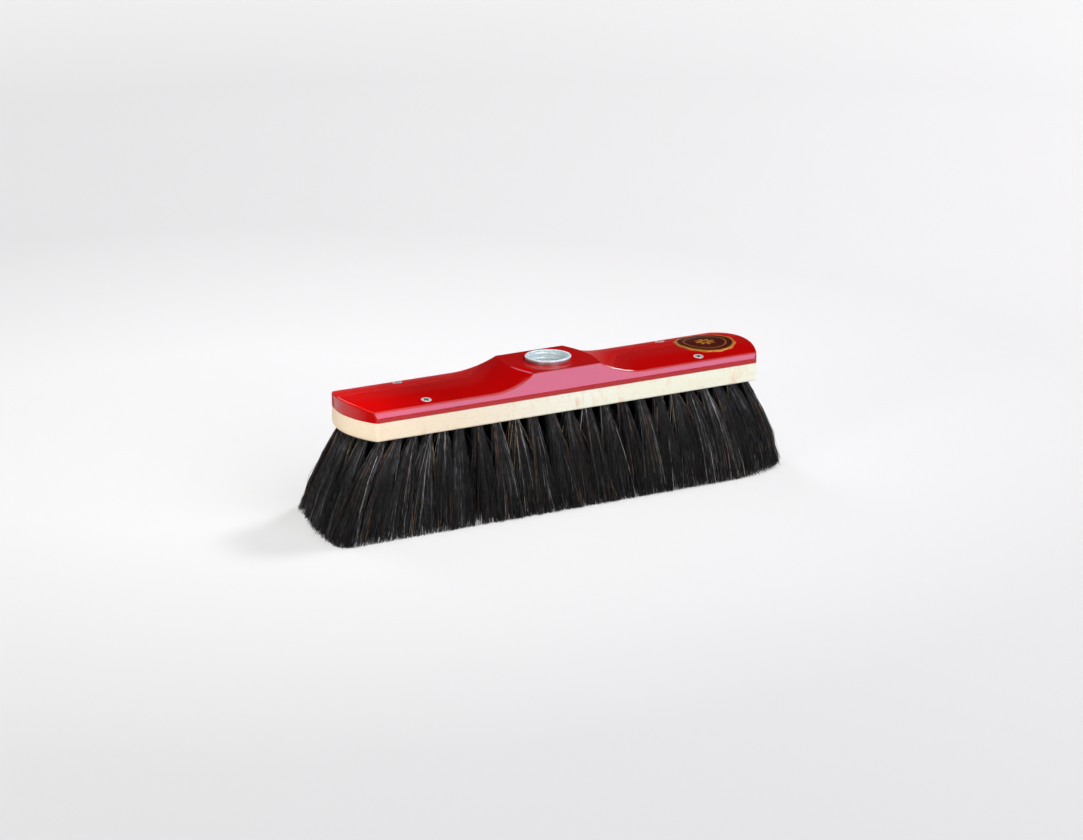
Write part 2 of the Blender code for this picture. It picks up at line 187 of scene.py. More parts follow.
# Flare of the hair, along the head as constant, linear and square terms in y
FLARE_LEFT = (0.0232, -0.304, 9.0)
FLARE_RIGHT = (0.0190, -0.04, 0.0)
FLARE_ACROSS = 0.0171
FLARE_POWER_ALONG = 3.0
FLARE_POWER_ACROSS = 1.6
TUCK_FROM = 0.095
TUCK_RUN = 0.035
TUCK_SHARE = 0.75
TUCK_LIFT = 0.045
TIP_MARGIN = 0.0046
TIP_CORNER = 0.0070
SIDE_MARGIN = 0.0015
FOLD_BACK = 0.4
HAIR_REACH_Y = 0.0489
BOW_LEFT = 0.38
BOW_RIGHT = 0.68

# Single hairs: how they fill a tuft, stray from it, end and sway
SEED = 28
HAIRS_PER_TUFT = 480
HAIR_RADIUS = 0.00013
HAIR_TAPER = 0.05
HAIR_THICKNESS = (0.80, 1.20)
DROPS = np.array([0.0, 0.14, 0.36, 0.66, 1.0])
TUFT_FILL = 0.74
TUFT_FILL_RANGE = (0.88, 1.12)
TUFT_LEAN = (0.0012, 0.0008)
ROOT_FILL = 0.90
HAIR_SCATTER = 0.0011
HAIR_CUT = 0.004
LOCKS_PER_TUFT = 60
LOCK_SCATTER = 0.0012
LOCK_CUT = 0.003
LOCK_PULL_LEAST = 0.15
LOCK_PULL_RANGE = 0.40
STRAY_SHARE = 0.055
STRAY_SCATTER = (0.0060, 0.0020)
STRAY_SWAY = 1.6
SWAY = 0.00105
SWAY_TURN = 5.0

# Tints of the hair: black to grey below ODD_TINTS, then brown and golden, and a few white ones
TINTS = 64
ODD_TINTS = 58
ODD_KINDS = 3
GOLD_TINT = ODD_TINTS + ODD_KINDS + 1
WHITE_TINT = TINTS - 1
LOCK_TONE = 0.5
TONE_POWER = 2.0
ODD_FROM = 0.965
STRAY_FROM = 0.985
GOLD_FROM = 0.992
WHITE_FROM = 0.998

# Where the caps at the root and the tip of a hair lie on the map
CAP_LEVELS = (0.01, 0.97)
CAP_RISE = 0.02
CAP_HALF_WIDTH = 0.3 / TINTS

# Floor, and the middle of its glow behind the head
FLOOR_REACH = 12.0
FLOOR_STEPS = 24
GLOW_CENTRE = (-0.12, 0.20, 0)

# Horizon of the studio, as the kind of ray and the heights between which it fades
HORIZON_GLOW = 0.86
HORIZON_BANDS = (
    ("Is Camera Ray", 0.16, 0.30),
    ("Is Glossy Ray", 0.0, 0.03),
    ("Is Transmission Ray", 0.0, 0.03),
)

# Softboxes: name, direction, distance, size, brightness, colour, and for some target, spread and matte light
HEAD_MIDDLE = (0.0, 0.0, 0.06)
LEFT_SIDE = (-0.15, -0.01, 0.06)
LEFT_END = (-0.138, -0.005, 0.07)
BACK_WAY = (-0.0295, 0.804, 0.593)
BACK_SIZE = (0.57, 1.69)
SOFTBOXES = [
    ("front_softbox", (0.477, -0.716, 0.509), 3.0, (1.12, 0.68), 3.8, (0.66, 0.47, 1.0)),
    ("key_softbox", (0.25, -0.64, 0.73), 4.6, (4.2, 3.1), 1.60, (1.0, 1.0, 0.985)),
    ("low_softbox", (0.05, -0.96, 0.28), 5.0, (3.0, 1.9), 4.50, (1.0, 1.0, 0.98)),
    ("left_softbox", (-0.88, -0.40, 0.24), 1.5, (0.40, 0.40), 0.55, (1.0, 0.93, 0.86), LEFT_SIDE, 34),
    ("end_softbox", (-0.35, -0.20, 0.92), 0.45, (0.05, 0.05), 1.20, (1.0, 0.97, 0.95), LEFT_END, 10),
    ("back_softbox", BACK_WAY, 3.0, BACK_SIZE, 5.0, (1.0, 0.93, 0.97)),
    ("back_gloss", BACK_WAY, 3.0, BACK_SIZE, 6.0, (1.0, 0.93, 0.97), HEAD_MIDDLE, 180, False),
    ("top_softbox", (0.69, 0.12, 0.715), 3.0, (0.68, 0.58), 33.0, (1.0, 0.94, 0.98)),
]

# Camera, fitted to the photograph; angles in radians
CAMERA_YAW = 0.520026591
CAMERA_PITCH = 0.284665820
CAMERA_ROLL = -0.003963448
CAMERA_PLACE = (-1.0754, -1.8700, 0.6739)
CAMERA_LENS = 122.99


# Materials


class Nodes:
    """The nodes of a material or a world: each call adds one and gives back its output."""

    def __init__(self, tree):
        self.tree = tree

    def feed(self, socket, value):
        if isinstance(value, bpy.types.NodeSocket):
            self.tree.links.new(value, socket)
        else:
            socket.default_value = value

    def add(self, kind, inputs=None, output=0, **settings):
        node = self.tree.nodes.new(kind)
        for key, value in settings.items():
            setattr(node, key, value)
        for key, value in (inputs or {}).items():
            self.feed(node.inputs[key], value)
        return node.outputs[output]

    def axes(self, vector):
        """The x, y and z of a vector."""
        node = self.tree.nodes.new("ShaderNodeSeparateXYZ")
        self.feed(node.inputs[0], vector)
        return list(node.outputs)

    def length(self, vector):
        return self.add("ShaderNodeVectorMath", {0: vector}, output="Value", operation="LENGTH")

    def place(self, scale=(1, 1, 1), shift=(0, 0, 0)):
        """The spot on the piece in metres, moved and then scaled to the size of a pattern."""
        spot = self.add("ShaderNodeTexCoord", output="Object")
        moved = self.add("ShaderNodeVectorMath", {0: spot, 1: shift}, operation="SUBTRACT")
        return self.add("ShaderNodeVectorMath", {0: moved, 1: scale}, operation="MULTIPLY")

    def noise(self, scale, shift=(0, 0, 0), detail=3.0, roughness=0.5):
        where = self.place(scale, shift)
        inputs = {"Vector": where, "Scale": 1.0, "Detail": detail, "Roughness": roughness}
        return self.add("ShaderNodeTexNoise", inputs)

    def ramp(self, value, stops, interpolation="LINEAR"):
        """Numbers or colours against a value, as (position, colour) pairs."""
        node = self.tree.nodes.new("ShaderNodeValToRGB")
        self.feed(node.inputs[0], value)
        band = node.color_ramp
        band.interpolation = interpolation
        while len(band.elements) < len(stops):
            band.elements.new(0.5)
        for element, (position, colour) in zip(band.elements, stops):
            element.position = position
            element.color = (*colour, 1) if isinstance(colour, tuple) else (colour, colour, colour, 1)
        return node.outputs[0]

    def remap(self, value, start, end):
        """The value taken from one span, as (low, high), to another, and held at its ends."""
        low, high = start
        first, last = end
        inputs = {"Value": value, "From Min": low, "From Max": high, "To Min": first, "To Max": last}
        return self.add("ShaderNodeMapRange", inputs)

    def mix(self, share, first, second, blend="MIX"):
        node = self.tree.nodes.new("ShaderNodeMix")
        node.data_type = "RGBA"
        node.blend_type = blend
        self.feed(node.inputs[0], share)
        self.feed(node.inputs[6], first if not isinstance(first, tuple) else (*first, 1))
        self.feed(node.inputs[7], second if not isinstance(second, tuple) else (*second, 1))
        return node.outputs[2]

    def math(self, operation, first, second=0.0, third=0.0):
        return self.add("ShaderNodeMath", {0: first, 1: second, 2: third}, operation=operation)

    def times(self, first, second):
        return self.math("MULTIPLY", first, second)

    def bump(self, height, distance, below=None):
        inputs = {"Height": height, "Distance": distance, "Strength": 1.0}
        if below:
            inputs["Normal"] = below
        return self.add("ShaderNodeBump", inputs)


class Look(Nodes):
    """A material under construction."""

    def __init__(self, name):
        self.material = bpy.data.materials.new(name)
        self.material.use_nodes = True
        super().__init__(self.material.node_tree)
        self.shader = self.tree.nodes["Principled BSDF"]

    def finish(self, **sockets):
        for key, value in sockets.items():
            socket = self.shader.inputs[key.replace("_", " ")]
            self.feed(socket, (*value, 1) if isinstance(value, tuple) else value)
        return self.material


def painted_crease_highlight(look):
    """The front half of the left crease, where a pale pink highlight line is painted along the edge."""
    x, y, _ = look.axes(look.place())
    crease = look.math("MULTIPLY_ADD", look.times(y, y), CREASE_CURVE, -CREASE_MIDDLE)
    away = look.math("ABSOLUTE", look.math("SUBTRACT", x, crease))
    line = look.ramp(look.math("DIVIDE", away, CREASE_LINE), [(0.35, 1.0), (0.95, 0.0)])
    reach = look.math("DIVIDE", y, -WIDTH / 2)
    span = look.ramp(reach, [(0.06, 0.0), (0.30, 0.8), (0.74, 1.0), (0.79, 0.0)])
    return look.times(line, span)


def lacquer_shine(look, grazing):
    """How strongly the paint mirrors: less on the ends, round the socket and at the left crease."""
    x, y, _ = look.axes(look.add("ShaderNodeNewGeometry", output="Normal"))
    shine = look.ramp(look.math("ABSOLUTE", x), [(0.50, 0.65), (0.80, 0.05), (0.90, 0.05), (0.97, 0.35)])
    shine = look.times(shine, look.math("MULTIPLY_ADD", grazing, -0.95, 1.0))
    corner = look.length(look.place((100, 55, 60), CREASE_CORNER))
    leaning = look.ramp(look.math("ABSOLUTE", y), [(0.60, 0.0), (0.80, 1.0)])
    shown = look.math("MAXIMUM", leaning, look.ramp(corner, [(0.45, 0.0), (0.95, 1.0)]))
    shine = look.times(shine, shown)
    around = look.length(look.place((20, 20, 0)))
    return look.times(shine, look.ramp(around, [(0.30, 0.30), (0.50, 1.0)]))


def lacquer_look():
    """Glossy red paint over wood: cloudy in colour, with the grain and fine dust just showing, and a painted
    highlight line at the left crease.
    """
    look = Look("red_lacquer")
    cloud = look.noise((14, 30, 30), detail=4)
    grain = look.noise((30, 700, 700), detail=5, roughness=0.6)
    colour = look.ramp(cloud, [(0.30, (0.435, 0.0008, 0.001)), (0.72, (0.500, 0.0012, 0.0012))])
    colour = look.mix(look.ramp(grain, [(0.40, 0.0), (0.75, 0.18)]), colour, (0.42, 0.001, 0.002))
    # Painted highlight: a pale pink line along the front half of the left crease.
    colour = look.mix(painted_crease_highlight(look), colour, (0.64, 0.16, 0.22))
    peel = look.noise((500, 500, 500), detail=2)
    waves = look.bump(look.noise((60, 160, 160), detail=1), 0.00002)
    skin = look.bump(grain, 0.000005, look.bump(peel, 0.000004, waves))
    clouds = look.ramp(look.noise((90, 90, 90), detail=5), [(0.3, 0.05), (0.7, 0.10)])
    facing = look.add("ShaderNodeLayerWeight", {"Blend": 0.5}, output="Facing")
    grazing = look.ramp(facing, [(0.69, 0.0), (0.81, 1.0)], "EASE")
    gloss = look.math("MULTIPLY_ADD", grazing, 0.30, clouds)
    shine = lacquer_shine(look, grazing)
    return look.finish(Base_Color=colour, Roughness=gloss, Normal=skin, Specular_IOR_Level=shine)


def beech_colour(look):
    """Pale wood: soft streaks along the grain, cross figure in patches, and short dark flecks."""
    streaks = look.noise((9, 260, 260), detail=4, roughness=0.6)
    colour = look.ramp(streaks, [(0.30, (0.94, 0.935, 0.75)), (0.70, (0.965, 0.985, 0.865))])
    warmer_left = [
        (0.0, (1.0, 0.84, 0.74)),
        (0.35, (1.0, 0.88, 0.80)),
        (0.72, (1.0, 1.0, 1.0)),
        (1.0, (1.0, 1.0, 0.94)),
    ]
    from_left = look.axes(look.place((5, 5, 5), (-0.14, 0, 0)))[0]
    colour = look.mix(1.0, colour, look.ramp(from_left, warmer_left), "MULTIPLY")
    figure = look.ramp(look.noise((240, 45, 90)), [(0.50, 0.0), (0.74, 1.0)])
    patches = look.ramp(look.noise((38, 38, 38), (0.3, 0.1, 0), detail=2), [(0.42, 0.05), (0.62, 0.95)])
    colour = look.mix(look.times(figure, patches), colour, (0.91, 0.70, 0.46))
    flecks = look.noise((500, 2600, 2600), (0.7, 0.2, 0.4), detail=1)
    return look.mix(look.ramp(flecks, [(0.66, 0.0), (0.74, 0.45)]), colour, (0.66, 0.45, 0.25)), streaks


def beech_look():
    look = Look("pale_beech")
    colour, streaks = beech_colour(look)
    pores = look.noise((180, 2400, 2400), detail=3, roughness=0.7)
    skin = look.bump(pores, 0.00006, look.bump(streaks, 0.00010))
    gloss = look.ramp(pores, [(0.3, 0.48), (0.7, 0.62)])
    return look.finish(Base_Color=colour, Roughness=gloss, Normal=skin, Specular_IOR_Level=0.3)


def bore_look():
    """Bare wood inside the cover's bore, darker where the drill has rubbed it."""
    look = Look("bare_bored_wood")
    rings = look.noise((500, 500, 900), detail=4)
    colour = look.ramp(rings, [(0.3, (0.50, 0.34, 0.19)), (0.7, (0.66, 0.49, 0.30))])
    return look.finish(Base_Color=colour, Roughness=0.7, Normal=look.bump(rings, 0.0001))


def zinc_look(name, colour, rough, metallic=1.0):
    """Bright plating: faint clouds, fine drawing lines and a little tarnish."""
    look = Look(name)
    cloud = look.noise((120, 120, 120), detail=4)
    lines = look.noise((300, 300, 5000), detail=2)
    darker = tuple(0.88 * part for part in colour)
    shade = look.ramp(cloud, [(0.35, darker), (0.70, colour)])
    gloss = look.ramp(look.noise((400, 400, 400), detail=5), [(0.3, rough), (0.7, rough + 0.14)])
    skin = look.bump(lines, 0.000012)
    return look.finish(Base_Color=shade, Metallic=metallic, Roughness=gloss, Normal=skin)


def seal_gilt(look, radius, angle, worn):
    """Where the seal is gilt: its edge, a plain ring and a rosette of petals; radius in millimetres."""
    petal = look.math("ABSOLUTE", look.math("COSINE", look.times(angle, 4.0)))
    reach = look.math("MULTIPLY_ADD", petal, 4.6, 2.2)
    rosette = look.ramp(look.math("SUBTRACT", reach, radius), [(0.0, 0.0), (0.5, 1.0)])
    heart = look.ramp(look.math("SUBTRACT", 1.8, radius), [(0.0, 0.0), (0.3, 1.0)])
    flower = look.math("MAXIMUM", look.math("SUBTRACT", rosette, heart), 0.0)
    stops = [(0.0, 0.0), (0.640, 0.0), (0.645, 1.0), (0.668, 1.0), (0.673, 0.0), (0.850, 0.0), (0.858, 1.0)]
    bands = look.ramp(look.math("DIVIDE", radius, SEAL_LOOK_SPAN), stops)
    figures = look.math("MAXIMUM", bands, flower)
    return look.times(figures, look.ramp(worn, [(0.28, 0.55), (0.50, 1.0)]))


def seal_look():
    """A printed paper seal: gilt figures on a brown field, with fine ribs across the edge."""
    look = Look("gilt_paper_seal")
    across, along, _ = look.axes(look.place((1000, 1000, 1000), (SEAL_X, 0, 0)))
    square = look.math("ADD", look.times(across, across), look.times(along, along))
    radius = look.math("SQRT", square)
    angle = look.math("ARCTAN2", along, across)
    worn = look.noise((900, 900, 900), detail=4)
    gilt = seal_gilt(look, radius, angle, worn)
    browns = [(0.3, (0.046, 0.0038, 0.0024)), (0.7, (0.072, 0.0075, 0.0040))]
    golds = [(0.3, (0.44, 0.165, 0.020)), (0.7, (0.58, 0.26, 0.045))]
    field = look.ramp(look.noise((150, 150, 150)), browns)
    gold = look.ramp(look.noise((500, 500, 500)), golds)
    ribs = look.math("SINE", look.times(angle, 72.0))
    edge = look.ramp(look.math("DIVIDE", radius, SEAL_LOOK_SPAN), [(0.84, 0.0), (0.87, 1.0)])
    relief = look.math("MULTIPLY_ADD", look.times(ribs, edge), 0.5, gilt)
    skin = look.bump(relief, 0.00006, look.bump(look.noise((300, 300, 300), detail=4), 0.00004))
    return look.finish(
        Base_Color=look.mix(gilt, field, gold),
        Roughness=look.ramp(worn, [(0.3, 0.28), (0.7, 0.42)]),
        Metallic=look.times(gilt, 0.35),
        Normal=skin,
        Specular_IOR_Level=0.1,
    )


def hair_look():
    """Horsehair: black to grey, with a few brown, golden and white hairs; a painted sheen makes it lighter
    near the board and at the tips, and painted light lifts it towards both ends of the head.
    """
    look = Look("black_horsehair")
    tint, along, _ = look.axes(look.add("ShaderNodeUVMap", output="UV", uv_map="OFBake"))
    column = look.math("FLOOR", look.times(tint, float(TINTS)))
    kinds = [
        (0.0, (0.0036, 0.0037, 0.0042)),
        (0.30, (0.0100, 0.0101, 0.0108)),
        (0.60, (0.0360, 0.0360, 0.0370)),
        (0.895, (0.300, 0.300, 0.305)),
        (0.905, (0.085, 0.044, 0.029)),
        (0.950, (0.110, 0.064, 0.040)),
        (0.952, (0.14, 0.10, 0.055)),
        (0.980, (0.17, 0.135, 0.080)),
        (0.983, (0.34, 0.33, 0.30)),
    ]
    colour = look.ramp(look.math("DIVIDE", column, float(TINTS)), kinds)
    # Painted sheen: lighter near the board and at the tips, darker halfway down.
    sheen = look.ramp(along, [(0.20, 1.15), (0.42, 1.0), (0.62, 0.46), (0.80, 0.50), (1.0, 0.90)])
    glints = look.ramp(look.noise((620, 620, 110)), [(0.38, 0.36), (0.62, 1.0)])
    # Painted light: a gain on the tints, a little higher towards both ends of the head.
    from_left = look.axes(look.place((3, 3, 3), (-0.16, 0, 0)))[0]
    lift = look.ramp(from_left, [(0.10, 4.3), (0.40, 3.7), (0.60, 3.8), (0.85, 4.5)])
    bright = look.times(look.times(sheen, glints), lift)
    colour = look.mix(1.0, colour, bright, "MULTIPLY")
    gloss = look.ramp(look.noise((160, 160, 60), detail=2), [(0.3, 0.34), (0.7, 0.50)])
    return look.finish(Base_Color=colour, Roughness=gloss, Specular_IOR_Level=0.25)


# Mesh helpers


def piece_from(mesh, name, look, smooth_angle=40):
    """An object from a bmesh, smooth where its faces meet at less than smooth_angle degrees."""
    data = bpy.data.meshes.new(name)
    bmesh.ops.recalc_face_normals(mesh, faces=mesh.faces)
    mesh.to_mesh(data)
    mesh.free()
    data.shade_smooth()
    data.set_sharp_from_angle(angle=math.radians(smooth_angle))
    made = bpy.data.objects.new(name, data)
    bpy.context.scene.collection.objects.link(made)
    if look:
        data.materials.append(look)
    return made


def settle(piece):
    """Gives the piece the mesh that its modifiers make."""
    bpy.context.view_layer.update()
    result = bpy.data.meshes.new_from_object(piece.evaluated_get(bpy.context.evaluated_depsgraph_get()))
    piece.modifiers.clear()
    piece.data = result


def cut(piece, cutter, material_mode="INDEX"):
    """Takes the cutter's space out of the piece, and the cutter out of the scene."""
    step = piece.modifiers.new("cut", "BOOLEAN")
    step.operation = "DIFFERENCE"
    step.solver = "EXACT"
    step.material_mode = material_mode
    step.object = cutter
    settle(piece)
    bpy.data.objects.remove(cutter, do_unlink=True)


def finish_shading(piece, angle):
    piece.data.shade_smooth()
    piece.data.set_sharp_from_angle(angle=math.radians(angle))
    piece.modifiers.new("even shading", "WEIGHTED_NORMAL").keep_sharp = True
    settle(piece)


def bridge(mesh, lower, upper):
    """Faces all the way round between two rings of vertices."""
    for i, point in enumerate(lower):
        j = (i + 1) % len(lower)
        mesh.faces.new((point, lower[j], upper[j], upper[i]))


def fill(mesh, lines):
    """Faces between neighbouring lines of vertices, which may share some."""
    for near, far in zip(lines, lines[1:]):
        for corners in zip(near, near[1:], far[1:], far):
            apart = list(dict.fromkeys(corners))
            if len(apart) > 2:
                mesh.faces.new(apart)


def bridge_all(mesh, rings):
    for lower, upper in zip(rings, rings[1:]):
        bridge(mesh, lower, upper)


def loft(rings, closed=False):
    """A solid through rings of as many points each, capped at both ends unless it closes on itself."""
    mesh = bmesh.new()
    rows = [[mesh.verts.new(point) for point in ring] for ring in rings]
    bridge_all(mesh, rows)
    if closed:
        bridge(mesh, rows[-1], rows[0])
    else:
        mesh.faces.new(rows[0])
        mesh.faces.new(rows[-1])
    return mesh


def turns_of(sides):
    return [2 * math.pi * i / sides for i in range(sides)]


def turned(profile, sides):
    """A solid turned round the Z axis through (radius, z) points."""
    turns = turns_of(sides)
    return loft([[(radius * math.cos(a), radius * math.sin(a), z) for a in turns] for radius, z in profile])


def box_mesh(low, high):
    corners = [(low[0], low[1]), (high[0], low[1]), (high[0], high[1]), (low[0], high[1])]
    return loft([[(x, y, z) for x, y in corners] for z in (low[2], high[2])])


def joined(meshes):
    whole = bmesh.new()
    for mesh in meshes:
        data = bpy.data.meshes.new("part")
        mesh.to_mesh(data)
        mesh.free()
        whole.from_mesh(data)
        bpy.data.meshes.remove(data)
    return whole


# Outline shared by both boards


def quarter_outline(half_width, rounding, inset=0.0):
    """The outline from the corner's foot on the long side round to the middle of the end, for x, y > 0."""
    radius = END_RADIUS - inset
    corner_y = half_width - rounding
    corner_x = END_CENTRE_X + math.sqrt((radius - rounding) ** 2 - corner_y**2)
    turn = math.atan2(corner_y, corner_x - END_CENTRE_X)
    points = []
    for i in range(CORNER_STEPS + 1):
        angle = math.pi / 2 + (turn - math.pi / 2) * i / CORNER_STEPS
        points.append((corner_x + rounding * math.cos(angle), corner_y + rounding * math.sin(angle)))
    for i in range(1, END_STEPS + 1):
        angle = turn * (1 - i / END_STEPS)
        points.append((END_CENTRE_X + radius * math.cos(angle), radius * math.sin(angle)))
    return points


def full_outline(half_width, rounding, inset=0.0):
    quarter = quarter_outline(half_width, rounding, inset)
    right = quarter + [(x, -y) for x, y in quarter[-2::-1]]
    return right + [(-x, y) for x, y in right[::-1]]


# Board


def board_rings():
    """The board's outline at each level, drawn in where its edges are rounded."""
    rings = []
    for level, way, rounding in ((BOARD_BOTTOM, 1, BOARD_EDGE_RADIUS), (SEAM, -1, BOARD_SEAM_RADIUS)):
        steps = []
        for i in range(BOARD_EDGE_STEPS + 1):
            angle = math.pi / 2 * i / BOARD_EDGE_STEPS
            inset = rounding * (1 - math.sin(angle))
            z = level + way * rounding * (1 - math.cos(angle))
            outline = full_outline(WIDTH / 2 - inset, PLAN_CORNER_RADIUS - inset, inset)
            steps.append([(x, y, z) for x, y in outline])
        rings += steps[::way]
    return rings


def tuft_holes():
    """Cutters for the holes of all tufts."""
    holes = []
    for row in range(ROWS):
        for x in tuft_centres(row):
            hole = turned([(HOLE_RADIUS, BOARD_BOTTOM - CUT_PAST), (HOLE_RADIUS, HOLE_TOP)], HOLE_SIDES)
            hole.transform(Matrix.Translation((x, row_y(row), 0)))
            holes.append(hole)
    return joined(holes)


def wire_box(row, start, end, bottom):
    """A cutter along a row's draw wire, from one x to another and out through the board's top."""
    y = row_y(row)
    low = (start, y - GROOVE_HALF_WIDTH, bottom)
    high = (end, y + GROOVE_HALF_WIDTH, SEAM + CUT_PAST)
    return box_mesh(low, high)


def wire_cutters():
    """Cutters for the grooves, and for the well at either end of each groove."""
    grooves = []
    wells = []
    for row in range(ROWS):
        last = end_x(row_y(row), WIRE_INSET)
        reach = last + GROOVE_HALF_WIDTH
        grooves.append(wire_box(row, -reach, reach, GROOVE_BOTTOM))
        for side in (-1, 1):
            start, end = sorted((side * (last - WELL_LENGTH), side * reach))
            wells.append(wire_box(row, start, end, WELL_BOTTOM))
    return joined(grooves), joined(wells)


def make_board(looks):
    """The board with a hole for every tuft and the grooves of the draw wires in its top."""
    board = piece_from(loft(board_rings()), "bristle_board_wood", looks["beech"], 30)
    cut(board, piece_from(tuft_holes(), "tuft_holes", None))
    grooves, wells = wire_cutters()
    cut(board, piece_from(grooves, "wire_grooves", None))
    cut(board, piece_from(wells, "wire_wells", None))
    finish_shading(board, 30)
    return board


# Cover


def crown(y):
    """Height of the crowned top above the height of its long edges."""
    return math.sqrt(CROWN_RADIUS**2 - y**2) - math.sqrt(CROWN_RADIUS**2 - TOP_HALF_WIDTH**2)


RAMP_RUN = HUMP_FOOT - HUMP_HALF_LENGTH
RAMP_RISE = HUMP_HEIGHT - EDGE_HEIGHT - crown(HUMP_HALF_WIDTH)
RAMP_RADIUS = (RAMP_RUN**2 + RAMP_RISE**2) / (2 * RAMP_RISE)


def side_height(x):
    """The long edge's side view: flat, then a hollow arc up to the hump, carried on past its top."""
    into = max(HUMP_FOOT - abs(x), 0.0)
    return EDGE_HEIGHT + RAMP_RADIUS - math.sqrt(max(RAMP_RADIUS**2 - into**2, 0.0))


def crease_x(y):
    """Where the ramp meets the flat of the hump, at this y."""
    rise = HUMP_HEIGHT - EDGE_HEIGHT - crown(y)
    return HUMP_FOOT - math.sqrt(RAMP_RADIUS**2 - (RAMP_RADIUS - rise) ** 2)


def top_height(x, y):
    if abs(x) <= crease_x(y):
        return HUMP_HEIGHT
    return min(side_height(x) + crown(y), HUMP_HEIGHT)


# Stations along half the head, as (zone, share): flat of the hump, ramp, straight part
STATIONS = [("flat", i / 8) for i in range(8)]
STATIONS += [("flat", 0.985), ("crease", 0.0)]
STATIONS += [("ramp", share) for share in (0.012, 0.06, 0.13, 0.22, 0.32, 0.43, 0.55, 0.68, 0.82, 1.0)]
STATIONS += [("straight", i / 10) for i in range(1, 11)]


def station_x(station, y, end):
    """The x of a station at this y, where the straight part ends at end."""
    zone, share = station
    crease = crease_x(y)
    if zone == "flat":
        return crease * share
    if zone == "crease":
        return crease
    if zone == "ramp":
        return crease + (HUMP_FOOT - crease) * share
    return HUMP_FOOT + (end - HUMP_FOOT) * share


def edge_spot(station, end):
    """The x, y and height at which the leaning side meets the top, at a station of the long side."""
    y = TOP_HALF_WIDTH
    for _ in range(EDGE_TRIES):
        height = top_height(station_x(station, y, end), y)
        y = WIDTH / 2 - SIDE_SLOPE * (height - BAND_HEIGHT)
    return station_x(station, y, end), y, height


def edge_rounding(i):
    """How far the upper edge is rounded off: crisp on the hump, softer towards the ends."""
    if i >= len(STATIONS):
        return EDGE_ROUNDING
    zone, share = STATIONS[i]
    if zone == "ramp":
        return HUMP_ROUNDING + (EDGE_ROUNDING - HUMP_ROUNDING) * min(share / ROUNDING_RUN, 1.0)
    if zone == "straight":
        return EDGE_ROUNDING
    return HUMP_ROUNDING


def cover_quarter():
    """The sharp upper edge and the foot of the leaning side, from the long side's middle to the end's."""
    top_quarter = quarter_outline(TOP_HALF_WIDTH, TOP_CORNER_RADIUS)
    band_quarter = quarter_outline(WIDTH / 2, PLAN_CORNER_RADIUS)
    end_top = top_quarter[0][0]
    end_band = band_quarter[0][0]
    edge = []
    foot = []
    for station in STATIONS:
        x, y, height = edge_spot(station, end_top)
        edge.append(Vector((x, y, height)))
        share = max(x - HUMP_FOOT, 0.0) / (end_top - HUMP_FOOT)
        foot.append(Vector((x + (end_band - end_top) * share, WIDTH / 2, BAND_HEIGHT)))
    for (x, y), (band_x, band_y) in list(zip(top_quarter, band_quarter))[1:]:
        edge.append(Vector((x, y, EDGE_HEIGHT + crown(y))))
        foot.append(Vector((band_x, band_y, BAND_HEIGHT)))
    return edge, foot, end_band


def towards(start, way, distance):
    return start + way * (distance / way.length)


def side_loops(edge, foot, end_band):
    """Rings from the underside up the upright band and onto the leaning side."""
    underside = SEAM - COVER_Z
    loops = [
        [Vector((p.x - FOOT_BEVEL * (p.x > end_band), p.y - FOOT_BEVEL, underside)) for p in foot],
        [Vector((p.x, p.y, underside + FOOT_BEVEL)) for p in foot],
        [Vector((p.x, p.y, BAND_HEIGHT - BAND_BEVEL)) for p in foot],
    ]
    softened = []
    for low, below, above in zip(loops[-1], foot, edge):
        high = towards(below, above - below, BAND_BEVEL)
        softened.append(((low + high) / 2 + below) / 2)
    loops.append(softened)
    for reach in (BAND_BEVEL, SIDE_LEVEL):
        loops.append([towards(below, above - below, reach) for below, above in zip(foot, edge)])
    return loops


def top_way(edge, i):
    """The direction from the sharp edge in over the top, at a point of the quarter."""
    if i < len(STATIONS):
        inward = Vector((0, -1, 0))
    else:
        before = edge[i - 1]
        after = edge[i + 1] if i + 1 < len(edge) else Vector((before.x, -before.y, before.z))
        along = after - before
        inward = Vector((along.y, -along.x, 0)).normalized()
        if inward.x > 0:
            inward = -inward
    probe = edge[i] + inward * EDGE_PROBE
    rise = crown(probe.y) - crown(edge[i].y)
    if edge[i].z >= HUMP_HEIGHT - HEIGHT_TOLERANCE:
        rise = 0.0
    probe.z = edge[i].z + rise
    return (probe - edge[i]).normalized()


def cover_loops():
    """A quarter of each ring, from the underside up the sides and over the rounded edge."""
    edge, foot, end_band = cover_quarter()
    loops = side_loops(edge, foot, end_band)
    sizes = [edge_rounding(i) for i in range(len(edge))]
    starts = [above - (above - below).normalized() * size for above, below, size in zip(edge, foot, sizes)]
    ends = [corner + top_way(edge, i) * sizes[i] for i, corner in enumerate(edge)]
    loops.append([a.lerp(b, 0.5) for a, b in zip(loops[-1], starts)])
    for i in range(EDGE_STEPS + 1):
        t = i / EDGE_STEPS
        loop = []
        for start, corner, end in zip(starts, edge, ends):
            loop.append(start * (1 - t) ** 2 + corner * (2 * t * (1 - t)) + end * t**2)
        loops.append(loop)
    return loops


def full_ring(mesh, quarter):
    """Vertices all the way round from a quarter's points: +x +y, then +x -y, then -x -y, then -x +y."""
    right = [(p.x, p.y, p.z) for p in quarter]
    right += [(x, -y, z) for x, y, z in right[-2::-1]]
    left = [(-x, y, z) for x, y, z in right[-2:0:-1]]
    return [mesh.verts.new(point) for point in right + left]


def ring_vertex(ring, i, side_x, side_y):
    """The ring's vertex for quarter index i, on the side of x and y given by sign."""
    half = len(ring) // 2
    if side_x > 0:
        position = i if side_y > 0 else half - i
    else:
        position = -i if side_y > 0 else half + i
    return ring[position % len(ring)]


def end_line(rim, side_x, count):
    """The rim's vertices round one end, from the last station at the back to the last one in front."""
    last = len(STATIONS) - 1
    line = [ring_vertex(rim, i, side_x, 1) for i in range(last, count)]
    return line + [ring_vertex(rim, i, side_x, -1) for i in range(count - 2, last - 1, -1)]


